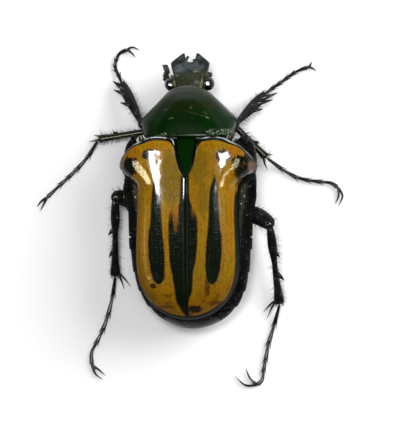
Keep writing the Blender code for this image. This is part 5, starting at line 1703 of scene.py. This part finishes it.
class BEETLE_OT_hairs(bpy.types.Operator):
    """Make the fringes of the legs"""

    bl_idname = "beetle.hairs"
    bl_label = "Hairs"

    def execute(self, context):
        hairs = context.scene.beetle_hairs
        draw = random.Random(hairs.seed)
        length = hairs.length / MM
        material = plain_paint("hair", context.scene.beetle_colours.hair, rough=0.45)
        groups = []
        for column, name in enumerate(LEGS):
            limb = shin_limb(name)
            dense = hairs.per_millimetre * SHIN_HAIRS[leg_kind(name)]
            count = int(limb.length * dense)
            groups.append(limb_hairs(limb, draw, count, SHIN_FRINGE, length, column))
            groups.append(limb_hairs(limb, draw, count // 2, ALL_ROUND, length * 0.5, column + 6))
            limb = thigh_limb(name)
            count = int(limb.length * hairs.per_millimetre)
            spans = (0.3, 0.95)
            groups.append(limb_hairs(limb, draw, count, ALL_ROUND, length * 0.7, column + 12, spans, 0.8))
        roots, tips, patches = (np.concatenate(part) for part in zip(*groups))
        obj = hair_mesh("leg_hairs", roots, tips, hairs.radius / MM, patches)
        finish_piece(obj, material, "leg")
        return {"FINISHED"}


class BEETLE_OT_studio(bpy.types.Operator):
    """Make the floor, the lights and the camera"""

    bl_idname = "beetle.studio"
    bl_label = "Studio"

    def execute(self, context):
        studio = context.scene.beetle_studio
        deselect()
        bpy.ops.mesh.primitive_plane_add(size=FLOOR_SIZE, location=(0, 0, -FLOOR_DROP))
        floor = added("floor")
        bpy.ops.object.transform_apply(location=True)
        floor.data.materials.append(floor_paint(context.scene.beetle_colours))
        aim = TO_FRAME @ Vector((CAMERA_AIM / math.cos(studio.tilt), 0.0, 0.0))
        lean = Vector((math.sin(studio.tilt), 0.0, math.cos(studio.tilt)))
        self.camera(context, studio, aim, lean)
        for name, size, direction, distance, diffuse, glossy in LAMPS:
            towards = Vector(direction).normalized() * distance
            lamp = self.area_light(name, getattr(studio, name), size, aim, towards)
            lamp.data.color = LAMP_TINTS.get(name, (1.0, 1.0, 1.0))
            lamp.visible_diffuse = diffuse
            lamp.visible_glossy = glossy
        self.room_light(context, studio)
        context.scene.view_settings.view_transform = "Standard"
        return {"FINISHED"}

    def room_light(self, context, studio):
        """Light from all round that is dim overhead and bright ahead."""
        world = bpy.data.worlds.new("room")
        context.scene.world = world
        world.use_nodes = True
        room = Nodes(world.node_tree, "Background")
        towards = room.add("ShaderNodeTexCoord", out="Generated")
        height = room.add("ShaderNodeSeparateXYZ", (), (towards,), "Z")
        ahead = room.add("ShaderNodeVectorMath", {"operation": "DOT_PRODUCT"}, (towards, WINDOW), "Value")
        room.shader.inputs["Color"].default_value = (*ROOM_TINT, 1.0)
        window = room.step(ahead, 0.1, 0.75) * 0.8 + 0.2
        room.link("Strength", room.curve(height, ROOM_LIGHT) * window * studio.room)
        world.cycles.sampling_method = "AUTOMATIC"

    def camera(self, context, studio, aim, lean):
        """A long lens above the beetle, with the head at the top of the picture."""
        view_height = PICTURE_HEIGHT * studio.pixel
        bpy.ops.object.camera_add(location=aim + lean * studio.distance)
        camera = added("camera")
        side = Vector((0, 1, 0)).cross(lean).normalized()
        camera.rotation_euler = Matrix((side, (0, 1, 0), lean)).transposed().to_euler()
        camera.data.sensor_width = SENSOR
        camera.data.lens = SENSOR * (studio.distance - BODY_HEIGHT) / view_height
        context.scene.camera = camera

    def area_light(self, name, power, size, aim, towards):
        """A rectangular light that looks at the beetle."""
        bpy.ops.object.light_add(type="AREA", location=aim + towards)
        light = added(name)
        light.data.shape = "RECTANGLE"
        light.data.size, light.data.size_y = size
        light.data.energy = power
        light.rotation_euler = towards.to_track_quat("Z", "Y").to_euler()
        return light


def floor_paint(colours):
    """Matt white paper."""
    paint = Paint("paper", Specular_IOR_Level=0.1)
    paint.link("Base Color", paint.coats(colours.floor, (paint.noise(0.12), scaled(colours.floor, 0.97))))
    paint.link("Roughness", 0.8 + paint.noise(4.0) * 0.1)
    return paint.material


class BEETLE_PT_sidebar(bpy.types.Panel):
    """The beetle's sizes, colours and operators"""

    bl_label = "Flower Chafer"
    bl_space_type = "VIEW_3D"
    bl_region_type = "UI"
    bl_category = "Beetle"

    def draw(self, context):
        for group in GROUPS:
            box = self.layout.box()
            settings = getattr(context.scene, group)
            for name in settings.bl_rna.properties.keys():
                if name not in ("rna_type", "name"):
                    box.prop(settings, name)
        for operator in OPERATORS:
            self.layout.operator(operator.bl_idname)


GROUPS = {
    "beetle_shells": BeetleShells,
    "beetle_limbs": BeetleLimbs,
    "beetle_hairs": BeetleHairs,
    "beetle_colours": BeetleColours,
    "beetle_studio": BeetleStudio,
}
OPERATORS = (
    BEETLE_OT_wing_cases, BEETLE_OT_shields, BEETLE_OT_trunk, BEETLE_OT_head, BEETLE_OT_eyes,
    BEETLE_OT_feelers, BEETLE_OT_legs, BEETLE_OT_hairs, BEETLE_OT_studio,
)


def register():
    for kind in (*GROUPS.values(), *OPERATORS, BEETLE_PT_sidebar):
        bpy.utils.register_class(kind)
    for name, group in GROUPS.items():
        setattr(bpy.types.Scene, name, PointerProperty(type=group))


def unregister():
    for name in GROUPS:
        delattr(bpy.types.Scene, name)
    for kind in reversed((*GROUPS.values(), *OPERATORS, BEETLE_PT_sidebar)):
        bpy.utils.unregister_class(kind)


def main():
    register()
    bpy.ops.beetle.wing_cases()
    bpy.ops.beetle.shields()
    bpy.ops.beetle.trunk()
    bpy.ops.beetle.head()
    bpy.ops.beetle.eyes()
    bpy.ops.beetle.feelers()
    bpy.ops.beetle.legs()
    bpy.ops.beetle.hairs()
    bpy.ops.beetle.studio()


if __name__ == "__main__":
    main()
